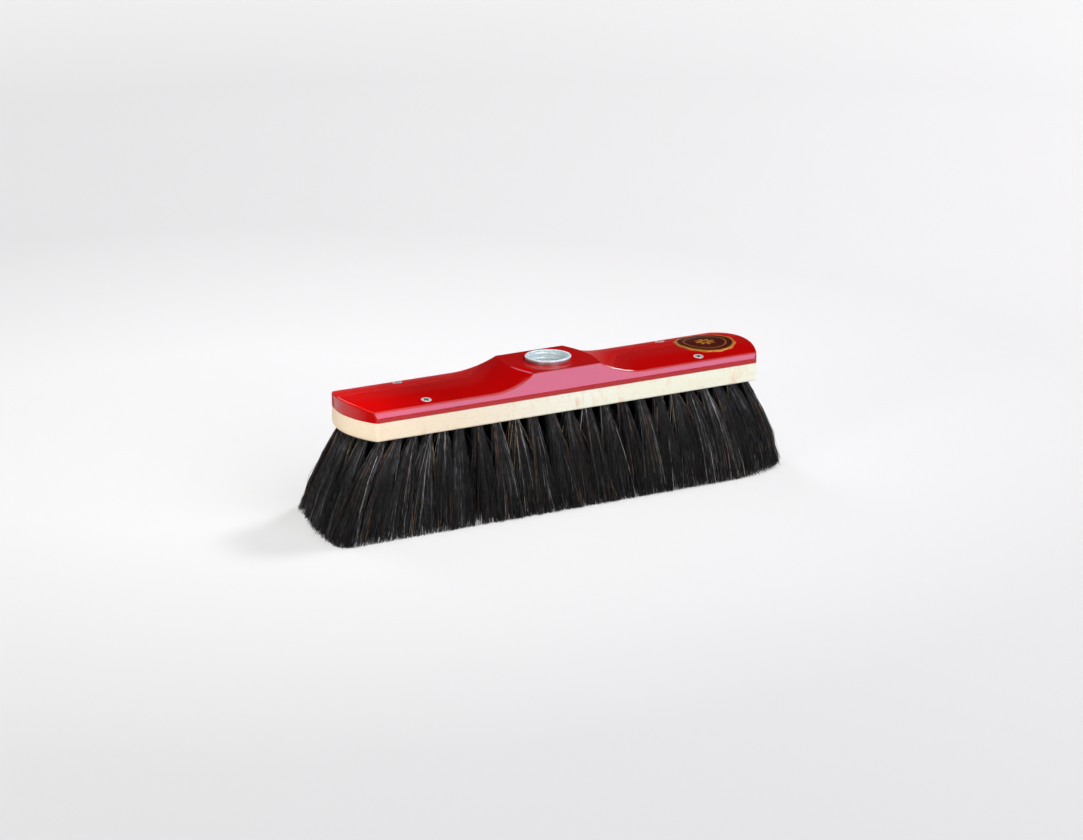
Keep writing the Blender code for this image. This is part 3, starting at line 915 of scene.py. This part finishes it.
def top_line(mesh, rim, i, side_x, shares, end):
    """Vertices across the top at a station, each at its share of the station's half width."""
    first = ring_vertex(rim, i, side_x, 1)
    line = [first]
    for share in shares[1:-1]:
        y = first.co.y * share
        x = station_x(STATIONS[i], y, end)
        line.append(mesh.verts.new((side_x * x, y, top_height(x, y))))
    return line + [ring_vertex(rim, i, side_x, -1)]


def cover_mesh():
    """Sides and rounded edge as rings, the top as a grid that follows the crease of the hump."""
    loops = cover_loops()
    mesh = bmesh.new()
    rings = [full_ring(mesh, loop) for loop in loops]
    bridge_all(mesh, rings)
    mesh.faces.new(rings[0])
    rim = rings[-1]
    right_end = end_line(rim, 1, len(loops[0]))
    left_end = end_line(rim, -1, len(loops[0]))
    shares = [vert.co.y / right_end[0].co.y for vert in right_end]
    end = abs(right_end[0].co.x)
    right = [top_line(mesh, rim, i, 1, shares, end) for i in range(len(STATIONS))]
    left = right[:1] + [top_line(mesh, rim, i, -1, shares, end) for i in range(1, len(STATIONS))]
    fill(mesh, right + [right_end])
    fill(mesh, left + [left_end])
    return mesh


def make_cover(looks):
    """The cover, bored for the socket and countersunk for the screws."""
    cover = piece_from(cover_mesh(), "cover_board_lacquered", looks["lacquer"], 35)
    cover.data.transform(Matrix.Translation((0, 0, COVER_Z)))
    cover.data.materials.append(looks["bore"])
    bore = turned([(BORE_RADIUS, COVER_Z + SOCKET_FLOOR), (BORE_RADIUS, COVER_Z + BORE_TOP)], BORE_SIDES)
    cut(cover, piece_from(bore, "socket_bore", looks["bore"]), "TRANSFER")
    for name in SCREW_SPOTS:
        hole = turned(screw_profile(SCREW_HOLE_GAP), SCREW_HOLE_SIDES)
        cutter = piece_from(hole, "screw_hole", looks["bore"])
        cutter.data.transform(screw_frame(name))
        cut(cover, cutter, "TRANSFER")
    finish_shading(cover, 35)
    return cover


# Socket, screws and seal


def flattened(value, power):
    """A sine or cosine made fuller, with its sign."""
    return math.copysign(abs(value) ** power, value)


def socket_outline():
    """The section from the foot up the outside and over the bead, as (radius, height)."""
    outline = [
        (SOCKET_OUTER, SOCKET_FOOT),
        (SOCKET_OUTER, NECK_SEAT),
        (NECK_RADIUS, NECK_SEAT),
        (NECK_RADIUS, BEAD_FOOT + BEAD_UNDERCUT),
    ]
    middle = (FLANGE_RADIUS + SOCKET_INNER) / 2
    half = (FLANGE_RADIUS - SOCKET_INNER) / 2
    for i in range(BEAD_STEPS + 1):
        angle = math.radians(BEAD_START + BEAD_SWEEP * i / BEAD_STEPS)
        bulge = flattened(math.cos(angle), BEAD_BULGE_POWER)
        rise = flattened(math.sin(angle), BEAD_RISE_POWER)
        outline.append((middle + half * bulge, RIM_TOP + BEAD_HEIGHT / 2 * (rise - 1)))
    return outline


def socket_ring(height, radii):
    """A ring at this height above the cover's underside, with a radius for each of its points."""
    ways = zip(radii, turns_of(SOCKET_SIDES))
    return [(radius * math.cos(a), radius * math.sin(a), COVER_Z + height) for radius, a in ways]


def thread_radius(height, share):
    """The bore's radius at this height and share of a turn; the thread fades out at both its ends."""
    ease = min(1.0, (THREAD_TOP - height) / THREAD_EASE_TOP, (height - SOCKET_FOOT) / THREAD_EASE_FOOT)
    turn = (height / THREAD_PITCH - share) % 1.0
    ridge = max(0.0, math.cos(2 * math.pi * (turn - 0.5))) ** THREAD_FULLNESS
    return SOCKET_INNER + THREAD_DEPTH - THREAD_DEPTH * ridge * ease


def make_socket(looks):
    """A drawn sleeve with a rolled rim, a coarse rounded thread inside, and painted shade on the neck under
    the bead.
    """
    rings = [socket_ring(height, [radius] * SOCKET_SIDES) for radius, height in socket_outline()]
    for i in range(1, THREAD_ROWS):
        height = THREAD_TOP + (SOCKET_FOOT - THREAD_TOP) * i / THREAD_ROWS
        thread = [thread_radius(height, j / SOCKET_SIDES) for j in range(SOCKET_SIDES)]
        rings.append(socket_ring(height, thread))
    rings.append(socket_ring(SOCKET_FOOT, [SOCKET_INNER] * SOCKET_SIDES))
    socket = piece_from(loft(rings, closed=True), "handle_socket_zinc", looks["zinc"], 50)
    # Painted shade and a painted red reflection: the neck under the bead takes a darker, pinkish copy of the
    # zinc.
    socket.data.materials.append(looks["neck"])
    for face in socket.data.polygons:
        level = face.center.z - COVER_Z
        outside = math.hypot(face.center.x, face.center.y) > SOCKET_OUTER
        if outside and HUMP_HEIGHT < level < BEAD_FOOT + BEAD_UNDERCUT / 2:
            face.material_index = 1
    return socket


def screw_profile(gap=0.0):
    """A screw's section down to its point as (radius, z), or that of its hole, wider by the gap."""
    head = SCREW_RADIUS + gap
    shank = SCREW_SHANK_RADIUS + gap
    if gap:
        top = [(head, SCREW_HOLE_TOP), (head, 0.0)]
    else:
        top = [(head - SCREW_DOME_INSET, SCREW_DOME_HEIGHT), (head - SCREW_EDGE, 0.0), (head, -SCREW_EDGE)]
    return top + [
        (head, -SCREW_LAND - gap),
        (shank, -SCREW_CONE_END - gap),
        (shank, -SCREW_SHANK_END - gap),
        (SCREW_POINT_RADIUS + gap, -SCREW_LENGTH - gap),
    ]


def screw_frame(name):
    """Where a screw stands, square to the crowned top."""
    x, side, _ = SCREW_SPOTS[name]
    lean = -side * math.asin(SCREW_Y / CROWN_RADIUS)
    spot = Vector((x, side * SCREW_Y, COVER_Z + EDGE_HEIGHT + crown(SCREW_Y)))
    return Matrix.Translation(spot) @ Matrix.Rotation(lean, 4, "X")


def make_screw(name, looks):
    """A countersunk screw with a cross recess."""
    screw = piece_from(turned(screw_profile(), SCREW_SIDES), f"cover_screw_{name}_steel", looks["screw"], 30)
    turn = SCREW_SPOTS[name][2]
    for way in (0, math.pi / 2):
        arm = []
        for z, long, wide in RECESS_LEVELS:
            arm.append([(-long, -wide, z), (long, -wide, z), (long, wide, z), (-long, wide, z)])
        cutter = piece_from(loft(arm), "recess", looks["recess"])
        cutter.data.transform(Matrix.Rotation(way + turn, 4, "Z"))
        cut(screw, cutter, "TRANSFER")
    finish_shading(screw, 30)
    screw.data.transform(screw_frame(name))
    return screw


def seal_point(share, lift, turn):
    """A point of the seal, lifted off the crown; the outer rings are scalloped."""
    wavy = share * (1 + SEAL_WAVE * share**SEAL_WAVE_POWER * math.cos(SEAL_LOBES * turn))
    x = SEAL_RADIUS * wavy * math.cos(turn)
    y = SEAL_RADIUS * wavy * math.sin(turn)
    return SEAL_X + x, y, COVER_Z + EDGE_HEIGHT + crown(y) + SEAL_LIFT * lift


def make_seal(looks):
    """A scalloped paper seal pressed onto the crown, thin at its edge, with a low ridge inside the rim."""
    mesh = bmesh.new()
    turns = turns_of(SEAL_SIDES)
    rings = [[mesh.verts.new(seal_point(share, lift, turn)) for turn in turns] for share, lift in SEAL_RINGS]
    bridge_all(mesh, rings)
    innermost = rings[-1]
    middle = mesh.verts.new(seal_point(0.0, SEAL_RINGS[-1][1], 0.0))
    for j, point in enumerate(innermost):
        mesh.faces.new((point, innermost[(j + 1) % SEAL_SIDES], middle))
    outline = [point.co.copy() for point in rings[0]]
    below = [mesh.verts.new((x, y, z - SEAL_THICKNESS)) for x, y, z in outline]
    bridge(mesh, below, rings[0])
    mesh.faces.new(below)
    return piece_from(mesh, "round_seal_paper", looks["seal"], 60)


# Hair


def row_y(row):
    return ROW_PITCH * row - OUTER_ROW


def end_x(y, inset):
    return END_CENTRE_X + np.sqrt((END_RADIUS - inset) ** 2 - y**2)


def tuft_centres(row):
    """Wider apart in the middle than towards the ends, as the filling machine sets them."""
    last = end_x(row_y(row), TUFT_INSET)
    most = (TUFTS_PER_ROW[row] - 1) / 2
    middle = MIDDLE_TUFTS * MIDDLE_PITCH
    end_pitch = (last - middle) / (most - MIDDLE_TUFTS)
    centres = []
    for i in range(TUFTS_PER_ROW[row]):
        count = i - most
        away = min(abs(count), MIDDLE_TUFTS) * MIDDLE_PITCH + max(abs(count) - MIDDLE_TUFTS, 0) * end_pitch
        centres.append(math.copysign(away, count))
    return centres


def tuck_share(place_x):
    """How much the hair is drawn in, from nothing to fully at the right end."""
    return np.clip((place_x - TUCK_FROM) / TUCK_RUN, 0.0, 1.0) ** 2


def tips_of(place_x, place_y):
    """Where hair that leaves the board at these places comes down, further out towards the edges."""
    limit_x = end_x(place_y, TUFT_INSET) + TIP_MARGIN
    share = np.minimum(np.abs(place_x) / limit_x, 1.0) ** FLARE_POWER_ALONG
    left = FLARE_LEFT[0] + FLARE_LEFT[1] * place_y + FLARE_LEFT[2] * place_y**2
    right = FLARE_RIGHT[0] + FLARE_RIGHT[1] * place_y + FLARE_RIGHT[2] * place_y**2
    tip_x = place_x + np.where(place_x < 0, -left, right) * share
    limit_y = OUTER_ROW + ROW_PITCH / 4
    reach = FLARE_ACROSS * np.minimum(np.abs(place_y) / limit_y, 1.0) ** FLARE_POWER_ACROSS
    reach = reach * np.where(place_y < 0, 1 - TUCK_SHARE * tuck_share(place_x), 1.0)
    return tip_x, place_y + np.sign(place_y) * reach


def bounded(place_at, limit):
    """Places past the limit are folded back inside it, so that the edge of the hair is the fullest."""
    past = np.maximum(np.abs(place_at) - limit, 0.0)
    return np.sign(place_at) * (np.minimum(np.abs(place_at), limit) - FOLD_BACK * past)


def rounded_corners(place_x, place_y, limit_x, limit_y):
    """Hair at the corners of the head is drawn in, so that its tips stand on a rounded outline."""
    past_x = np.abs(place_x) - (limit_x - TIP_CORNER)
    past_y = np.abs(place_y) - (limit_y - TIP_CORNER)
    past = np.hypot(past_x, past_y)
    outside = (past_x > 0) & (past_y > 0) & (past > TIP_CORNER)
    share = np.where(outside, TIP_CORNER / np.maximum(past, TIP_CORNER), 1.0)
    new_x = np.where(outside, limit_x - TIP_CORNER + past_x * share, np.abs(place_x))
    new_y = np.where(outside, limit_y - TIP_CORNER + past_y * share, np.abs(place_y))
    return np.sign(place_x) * new_x, np.sign(place_y) * new_y


def on_disc(number, rng):
    radius = np.sqrt(rng.random(number))
    angle = 2 * math.pi * rng.random(number)
    return np.stack([radius * np.cos(angle), radius * np.sin(angle)], axis=1)


def spread_tuft(pitch, rng):
    """Where a tuft's hairs lie in their hole, their locks, and how they spread round the tuft's centre."""
    disc = on_disc(HAIRS_PER_TUFT, rng)
    locks = on_disc(LOCKS_PER_TUFT, rng)
    nearest = np.argmin(((disc[:, None] - locks[None]) ** 2).sum(2), axis=1)
    cell = np.array([pitch, ROW_PITCH]) * TUFT_FILL * rng.uniform(*TUFT_FILL_RANGE)
    lean = rng.normal(0, 1, 2) * np.array(TUFT_LEAN)
    own = disc * cell + rng.normal(0, HAIR_SCATTER, (HAIRS_PER_TUFT, 2))
    gathered = locks[nearest] * cell + rng.normal(0, LOCK_SCATTER, (LOCKS_PER_TUFT, 2))[nearest]
    pull = LOCK_PULL_LEAST + LOCK_PULL_RANGE * rng.random((HAIRS_PER_TUFT, 1))
    return disc, nearest, own * (1 - pull) + gathered * pull + lean


def tuft_tints(nearest, odd, rng):
    """Tones go by the lock, with a few brown, golden and white hairs."""
    tone = LOCK_TONE * rng.random(LOCKS_PER_TUFT)[nearest] + (1 - LOCK_TONE) * rng.random(HAIRS_PER_TUFT)
    tints = np.minimum(tone**TONE_POWER * ODD_TINTS, ODD_TINTS - 1).astype(int)
    tints[odd > ODD_FROM] = rng.integers(ODD_TINTS, ODD_TINTS + ODD_KINDS, (odd > ODD_FROM).sum())
    tints[odd > GOLD_FROM] = GOLD_TINT
    tints[odd > WHITE_FROM] = WHITE_TINT
    return tints


def tuft_paths(centre, row, pitch, rng):
    """The hairs of one tuft, as points from the hole down to the tips, and the tint of each."""
    disc, nearest, spread = spread_tuft(pitch, rng)
    odd = rng.random(HAIRS_PER_TUFT)
    stray = (rng.random(HAIRS_PER_TUFT) < STRAY_SHARE) | (odd > STRAY_FROM)
    spread[stray] += rng.normal(0, 1, (stray.sum(), 2)) * np.array(STRAY_SCATTER)

    # Places at full width, before the flare
    y = row_y(row)
    limit_y = OUTER_ROW + ROW_PITCH / 4 + SIDE_MARGIN
    place_y = bounded(y + spread[:, 1], limit_y)
    limit_x = end_x(place_y, TUFT_INSET) + TIP_MARGIN
    place_x = bounded(centre + spread[:, 0], limit_x)
    place_x, place_y = rounded_corners(place_x, place_y, limit_x, limit_y)
    tip = np.stack(tips_of(place_x, place_y), axis=1)
    start = disc * HOLE_RADIUS * ROOT_FILL + np.array([centre, y])

    # How far down each hair reaches, and its bow and sway on the way
    lock_cut = np.abs(rng.normal(0, LOCK_CUT, LOCKS_PER_TUFT))
    reach = 1 - lock_cut[nearest] - np.abs(rng.normal(0, HAIR_CUT, HAIRS_PER_TUFT))
    reach -= TUCK_LIFT * tuck_share(place_x)
    drops = DROPS[None, :] * reach[:, None]
    bow = np.where(place_x < 0, BOW_LEFT, BOW_LEFT + (BOW_RIGHT - BOW_LEFT) * np.abs(place_x) / limit_x)
    share = drops + bow[:, None] * drops * (1 - drops)
    sway = rng.normal(0, SWAY, (HAIRS_PER_TUFT, 2))
    sway[stray] *= STRAY_SWAY
    phase = rng.random((HAIRS_PER_TUFT, 1)) * 2 * math.pi
    swing = np.sin(phase + drops * SWAY_TURN) * drops
    level = start[:, None, :] + share[:, :, None] * (tip - start)[:, None, :]
    level += swing[:, :, None] * sway[:, None, :]
    level[:, :, 1] = np.clip(level[:, :, 1], -HAIR_REACH_Y, HAIR_REACH_Y)
    z = BOARD_BOTTOM * (1 - drops)
    points = np.concatenate([level, z[:, :, None]], axis=2)
    inside = np.concatenate([start, np.full((HAIRS_PER_TUFT, 1), HAIR_TOP)], axis=1)
    paths = np.concatenate([inside[:, None, :], points], axis=1)
    return paths, tuft_tints(nearest, odd, rng)


def hair_points(paths, rng):
    """Three points round each point of each path, closer together towards the tip."""
    strands = len(paths)
    thickness = rng.uniform(*HAIR_THICKNESS, strands) * HAIR_RADIUS
    taper = np.concatenate([[1.0], 1.0 - HAIR_TAPER * DROPS**2])
    turn = rng.random(strands)[:, None] * 2 * math.pi + np.arange(3)[None] * 2 * math.pi / 3
    around = np.stack([np.cos(turn), np.sin(turn), np.zeros_like(turn)], axis=2)
    size = thickness[:, None] * taper[None]
    return paths[:, :, None, :] + size[:, :, None, None] * around[:, None]


def hair_faces(strands, rings):
    """The hairs' side faces and their caps at both ends, as indices into their points."""
    base = np.arange(strands)[:, None, None] * rings * 3
    ring = np.arange(rings - 1)[None, :, None] * 3
    side = np.arange(3)[None, None, :]
    near = base + ring + side
    after = base + ring + (side + 1) % 3
    quads = np.stack([near, after, after + 3, near + 3], axis=3).reshape(-1, 4)
    start = (np.arange(strands) * rings * 3)[:, None]
    caps = np.concatenate([start + [0, 2, 1], start + (rings - 1) * 3 + [0, 1, 2]])
    return quads, caps


def hair_map(tints, rings):
    """Each face corner's place on the map: the tint across it and the length from the root along it."""
    column = tints[:, None, None]
    ring = np.arange(rings - 1)[None, :, None]
    side = np.arange(3)[None, None, :]
    across = ((column + side / 3) / TINTS, (column + (side + 1) / 3) / TINTS)
    along = (ring / (rings - 1), (ring + 1) / (rings - 1))
    left, right, low, high = np.broadcast_arrays(*across, *along)
    maps = [np.stack([left, low, right, low, right, high, left, high], axis=3).reshape(-1, 2)]
    flat = (tints + 0.5) / TINTS
    for level in CAP_LEVELS:
        foot = np.full(len(tints), level)
        corners = [flat - CAP_HALF_WIDTH, foot, flat + CAP_HALF_WIDTH, foot, flat, foot + CAP_RISE]
        maps.append(np.stack(corners, axis=1).reshape(-1, 2))
    return np.concatenate(maps)


def make_hair(row, half, looks):
    """Half a row's tufts, each hair a thin three-sided tapered tube, on a map of tint and length."""
    rng = np.random.default_rng(SEED + 10 * row + half)
    centres = tuft_centres(row)
    pitches = np.gradient(centres)
    middle = len(centres) // 2
    chosen = range(middle, len(centres)) if half else range(middle)
    tufts = [tuft_paths(centres[i], row, pitches[i], rng) for i in chosen]
    paths = np.concatenate([tuft[0] for tuft in tufts])
    tints = np.concatenate([tuft[1] for tuft in tufts])
    strands, rings, _ = paths.shape
    points = hair_points(paths, rng)
    quads, caps = hair_faces(strands, rings)
    corners = np.concatenate([quads.reshape(-1), caps.reshape(-1)])
    starts = np.concatenate([np.arange(len(quads)) * 4, len(quads) * 4 + np.arange(len(caps)) * 3])
    data = bpy.data.meshes.new(f"horsehair_row_{row + 1}_{'right' if half else 'left'}")
    data.vertices.add(strands * rings * 3)
    data.vertices.foreach_set("co", points.reshape(-1).astype(np.float32))
    data.loops.add(len(corners))
    data.loops.foreach_set("vertex_index", corners.astype(np.int32))
    data.polygons.add(len(starts))
    data.polygons.foreach_set("loop_start", starts.astype(np.int32))
    data.update(calc_edges=True)
    layer = data.uv_layers.new(name="OFBake")
    layer.data.foreach_set("uv", hair_map(tints, rings).reshape(-1).astype(np.float32))
    data.validate()
    data.shade_smooth()
    data.materials.append(looks["hair"])
    made = bpy.data.objects.new(data.name, data)
    bpy.context.scene.collection.objects.link(made)
    return made


# Stage, lamps and camera


def floor_look():
    """Pale paint that glows for the camera, most beside and behind the head and at the horizon."""
    look = Look("pale_floor")
    greys = [(0.3, (0.635, 0.648, 0.638)), (0.7, (0.645, 0.658, 0.648))]
    shade = look.ramp(look.noise((2, 2, 2), detail=2), greys)
    path = look.tree.nodes.new("ShaderNodeLightPath")
    seen = look.math("MAXIMUM", path.outputs["Is Camera Ray"], path.outputs["Is Glossy Ray"])
    seen = look.math("MAXIMUM", seen, path.outputs["Is Transmission Ray"])
    near = look.remap(look.length(look.place(shift=GLOW_CENTRE)), (0.20, 0.58), (0.295, 0.145))
    far = look.remap(look.length(look.place()), (1.3, 5.0), (0.0, 0.72))
    return look.finish(
        Base_Color=shade,
        Roughness=0.9,
        Specular_IOR_Level=0.0,
        Emission_Color=(1.0, 1.0, 1.0),
        Emission_Strength=look.times(seen, look.math("ADD", near, far)),
    )


def make_floor():
    mesh = bmesh.new()
    marks = [FLOOR_REACH * (2 * i / FLOOR_STEPS - 1) for i in range(FLOOR_STEPS + 1)]
    fill(mesh, [[mesh.verts.new((x, y, 0)) for x in marks] for y in marks])
    floor = piece_from(mesh, "floor", floor_look())


def make_world():
    """A studio that is dim low down and bright above, the same all round, with a pale horizon."""
    world = bpy.data.worlds.new("studio")
    bpy.context.scene.world = world
    world.use_nodes = True
    nodes = Nodes(world.node_tree)
    height = nodes.axes(nodes.add("ShaderNodeTexCoord", output="Generated"))[2]
    strength = nodes.ramp(height, [(0.16, 0.03), (0.34, 0.03), (0.42, 0.008), (0.79, 0.008), (0.87, 1.0)])
    path = nodes.tree.nodes.new("ShaderNodeLightPath")
    for ray, low, high in HORIZON_BANDS:
        band = nodes.remap(height, (low, high), (HORIZON_GLOW, 0.0))
        strength = nodes.math("ADD", strength, nodes.times(path.outputs[ray], band))
    shine = nodes.tree.nodes["Background"]
    shine.inputs["Color"].default_value = (0.98, 0.99, 1.0, 1)
    nodes.feed(shine.inputs["Strength"], strength)


def make_lamp(name, way, distance, size, radiance, colour, target=HEAD_MIDDLE, spread=180, matte=True):
    """A softbox that faces its target from this direction; without matte it shows in reflections only."""
    data = bpy.data.lights.new(name, "AREA")
    data.shape = "RECTANGLE"
    data.size, data.size_y = size
    data.energy = radiance * math.pi * size[0] * size[1]
    data.color = colour
    data.spread = math.radians(spread)
    lamp = bpy.data.objects.new(name, data)
    direction = Vector(way).normalized()
    lamp.location = direction * distance + Vector(target)
    lamp.rotation_euler = direction.to_track_quat("Z", "Y").to_euler()
    lamp.visible_diffuse = matte
    bpy.context.scene.collection.objects.link(lamp)


def make_camera():
    """The photograph's own view: a long lens from the left front, looking down by sixteen degrees."""
    ahead = Vector((math.sin(CAMERA_YAW), math.cos(CAMERA_YAW), 0))
    forward = ahead * math.cos(CAMERA_PITCH) - Vector((0, 0, math.sin(CAMERA_PITCH)))
    level = Vector((ahead.y, -ahead.x, 0))
    upright = level.cross(forward)
    right = math.cos(CAMERA_ROLL) * level + math.sin(CAMERA_ROLL) * upright
    up = -math.sin(CAMERA_ROLL) * level + math.cos(CAMERA_ROLL) * upright
    data = bpy.data.cameras.new("camera")
    data.lens = CAMERA_LENS
    data.sensor_width = 36.0
    data.clip_start = 0.05
    data.clip_end = 60.0
    camera = bpy.data.objects.new("camera", data)
    turn = Matrix((right, up, -forward)).transposed().to_4x4()
    camera.matrix_world = Matrix.Translation(CAMERA_PLACE) @ turn
    bpy.context.scene.collection.objects.link(camera)
    bpy.context.scene.camera = camera


def make_looks():
    return {
        "lacquer": lacquer_look(),
        "beech": beech_look(),
        "bore": bore_look(),
        "zinc": zinc_look("zinc_plated_steel", (0.80, 0.95, 1.0), 0.22, 0.18),
        # A darker, pinkish copy of the zinc, as painted shade and painted reflection under the bead.
        "neck": zinc_look("zinc_painted_shade_under_bead", (0.46, 0.38, 0.42), 0.30, 0.65),
        "screw": zinc_look("zinc_plated_screws", (0.92, 0.93, 0.93), 0.34, 0.65),
        "recess": zinc_look("screw_recess_shade", (0.16, 0.15, 0.14), 0.45, 0.65),
        "wire": zinc_look("drawn_wire", (0.60, 0.59, 0.56), 0.32),
        "seal": seal_look(),
        "hair": hair_look(),
    }


def make_pieces(looks):
    """Every visible piece, with the node that it replaces and its slot."""
    pieces = [
        (make_board(looks), "bristle_board", "beech"),
        (make_cover(looks), "cover_board", "lacquer"),
        (make_socket(looks), "handle_socket", "zinc"),
        (make_seal(looks), "round_seal", "seal"),
    ]
    for name in SCREW_SPOTS:
        pieces.append((make_screw(name, looks), f"cover_screw_{name}", "zinc"))
    for row in range(ROWS):
        for half in (0, 1):
            pieces.append((make_hair(row, half, looks), f"bristle_row_{row + 1}", "hair"))
    return pieces


def main():
    make_camera()
    make_world()
    make_floor()
    for softbox in SOFTBOXES:
        make_lamp(*softbox)
    looks = make_looks()
    for piece, node, slot in make_pieces(looks):
        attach(piece, "root")
        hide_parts(node)
    for number in range(1, ROWS + 1):
        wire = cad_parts[f"draw_wire_{number}"]
        wire.data.materials.clear()
        wire.data.materials.append(looks["wire"])
    bpy.context.scene.view_settings.view_transform = "Standard"


main()
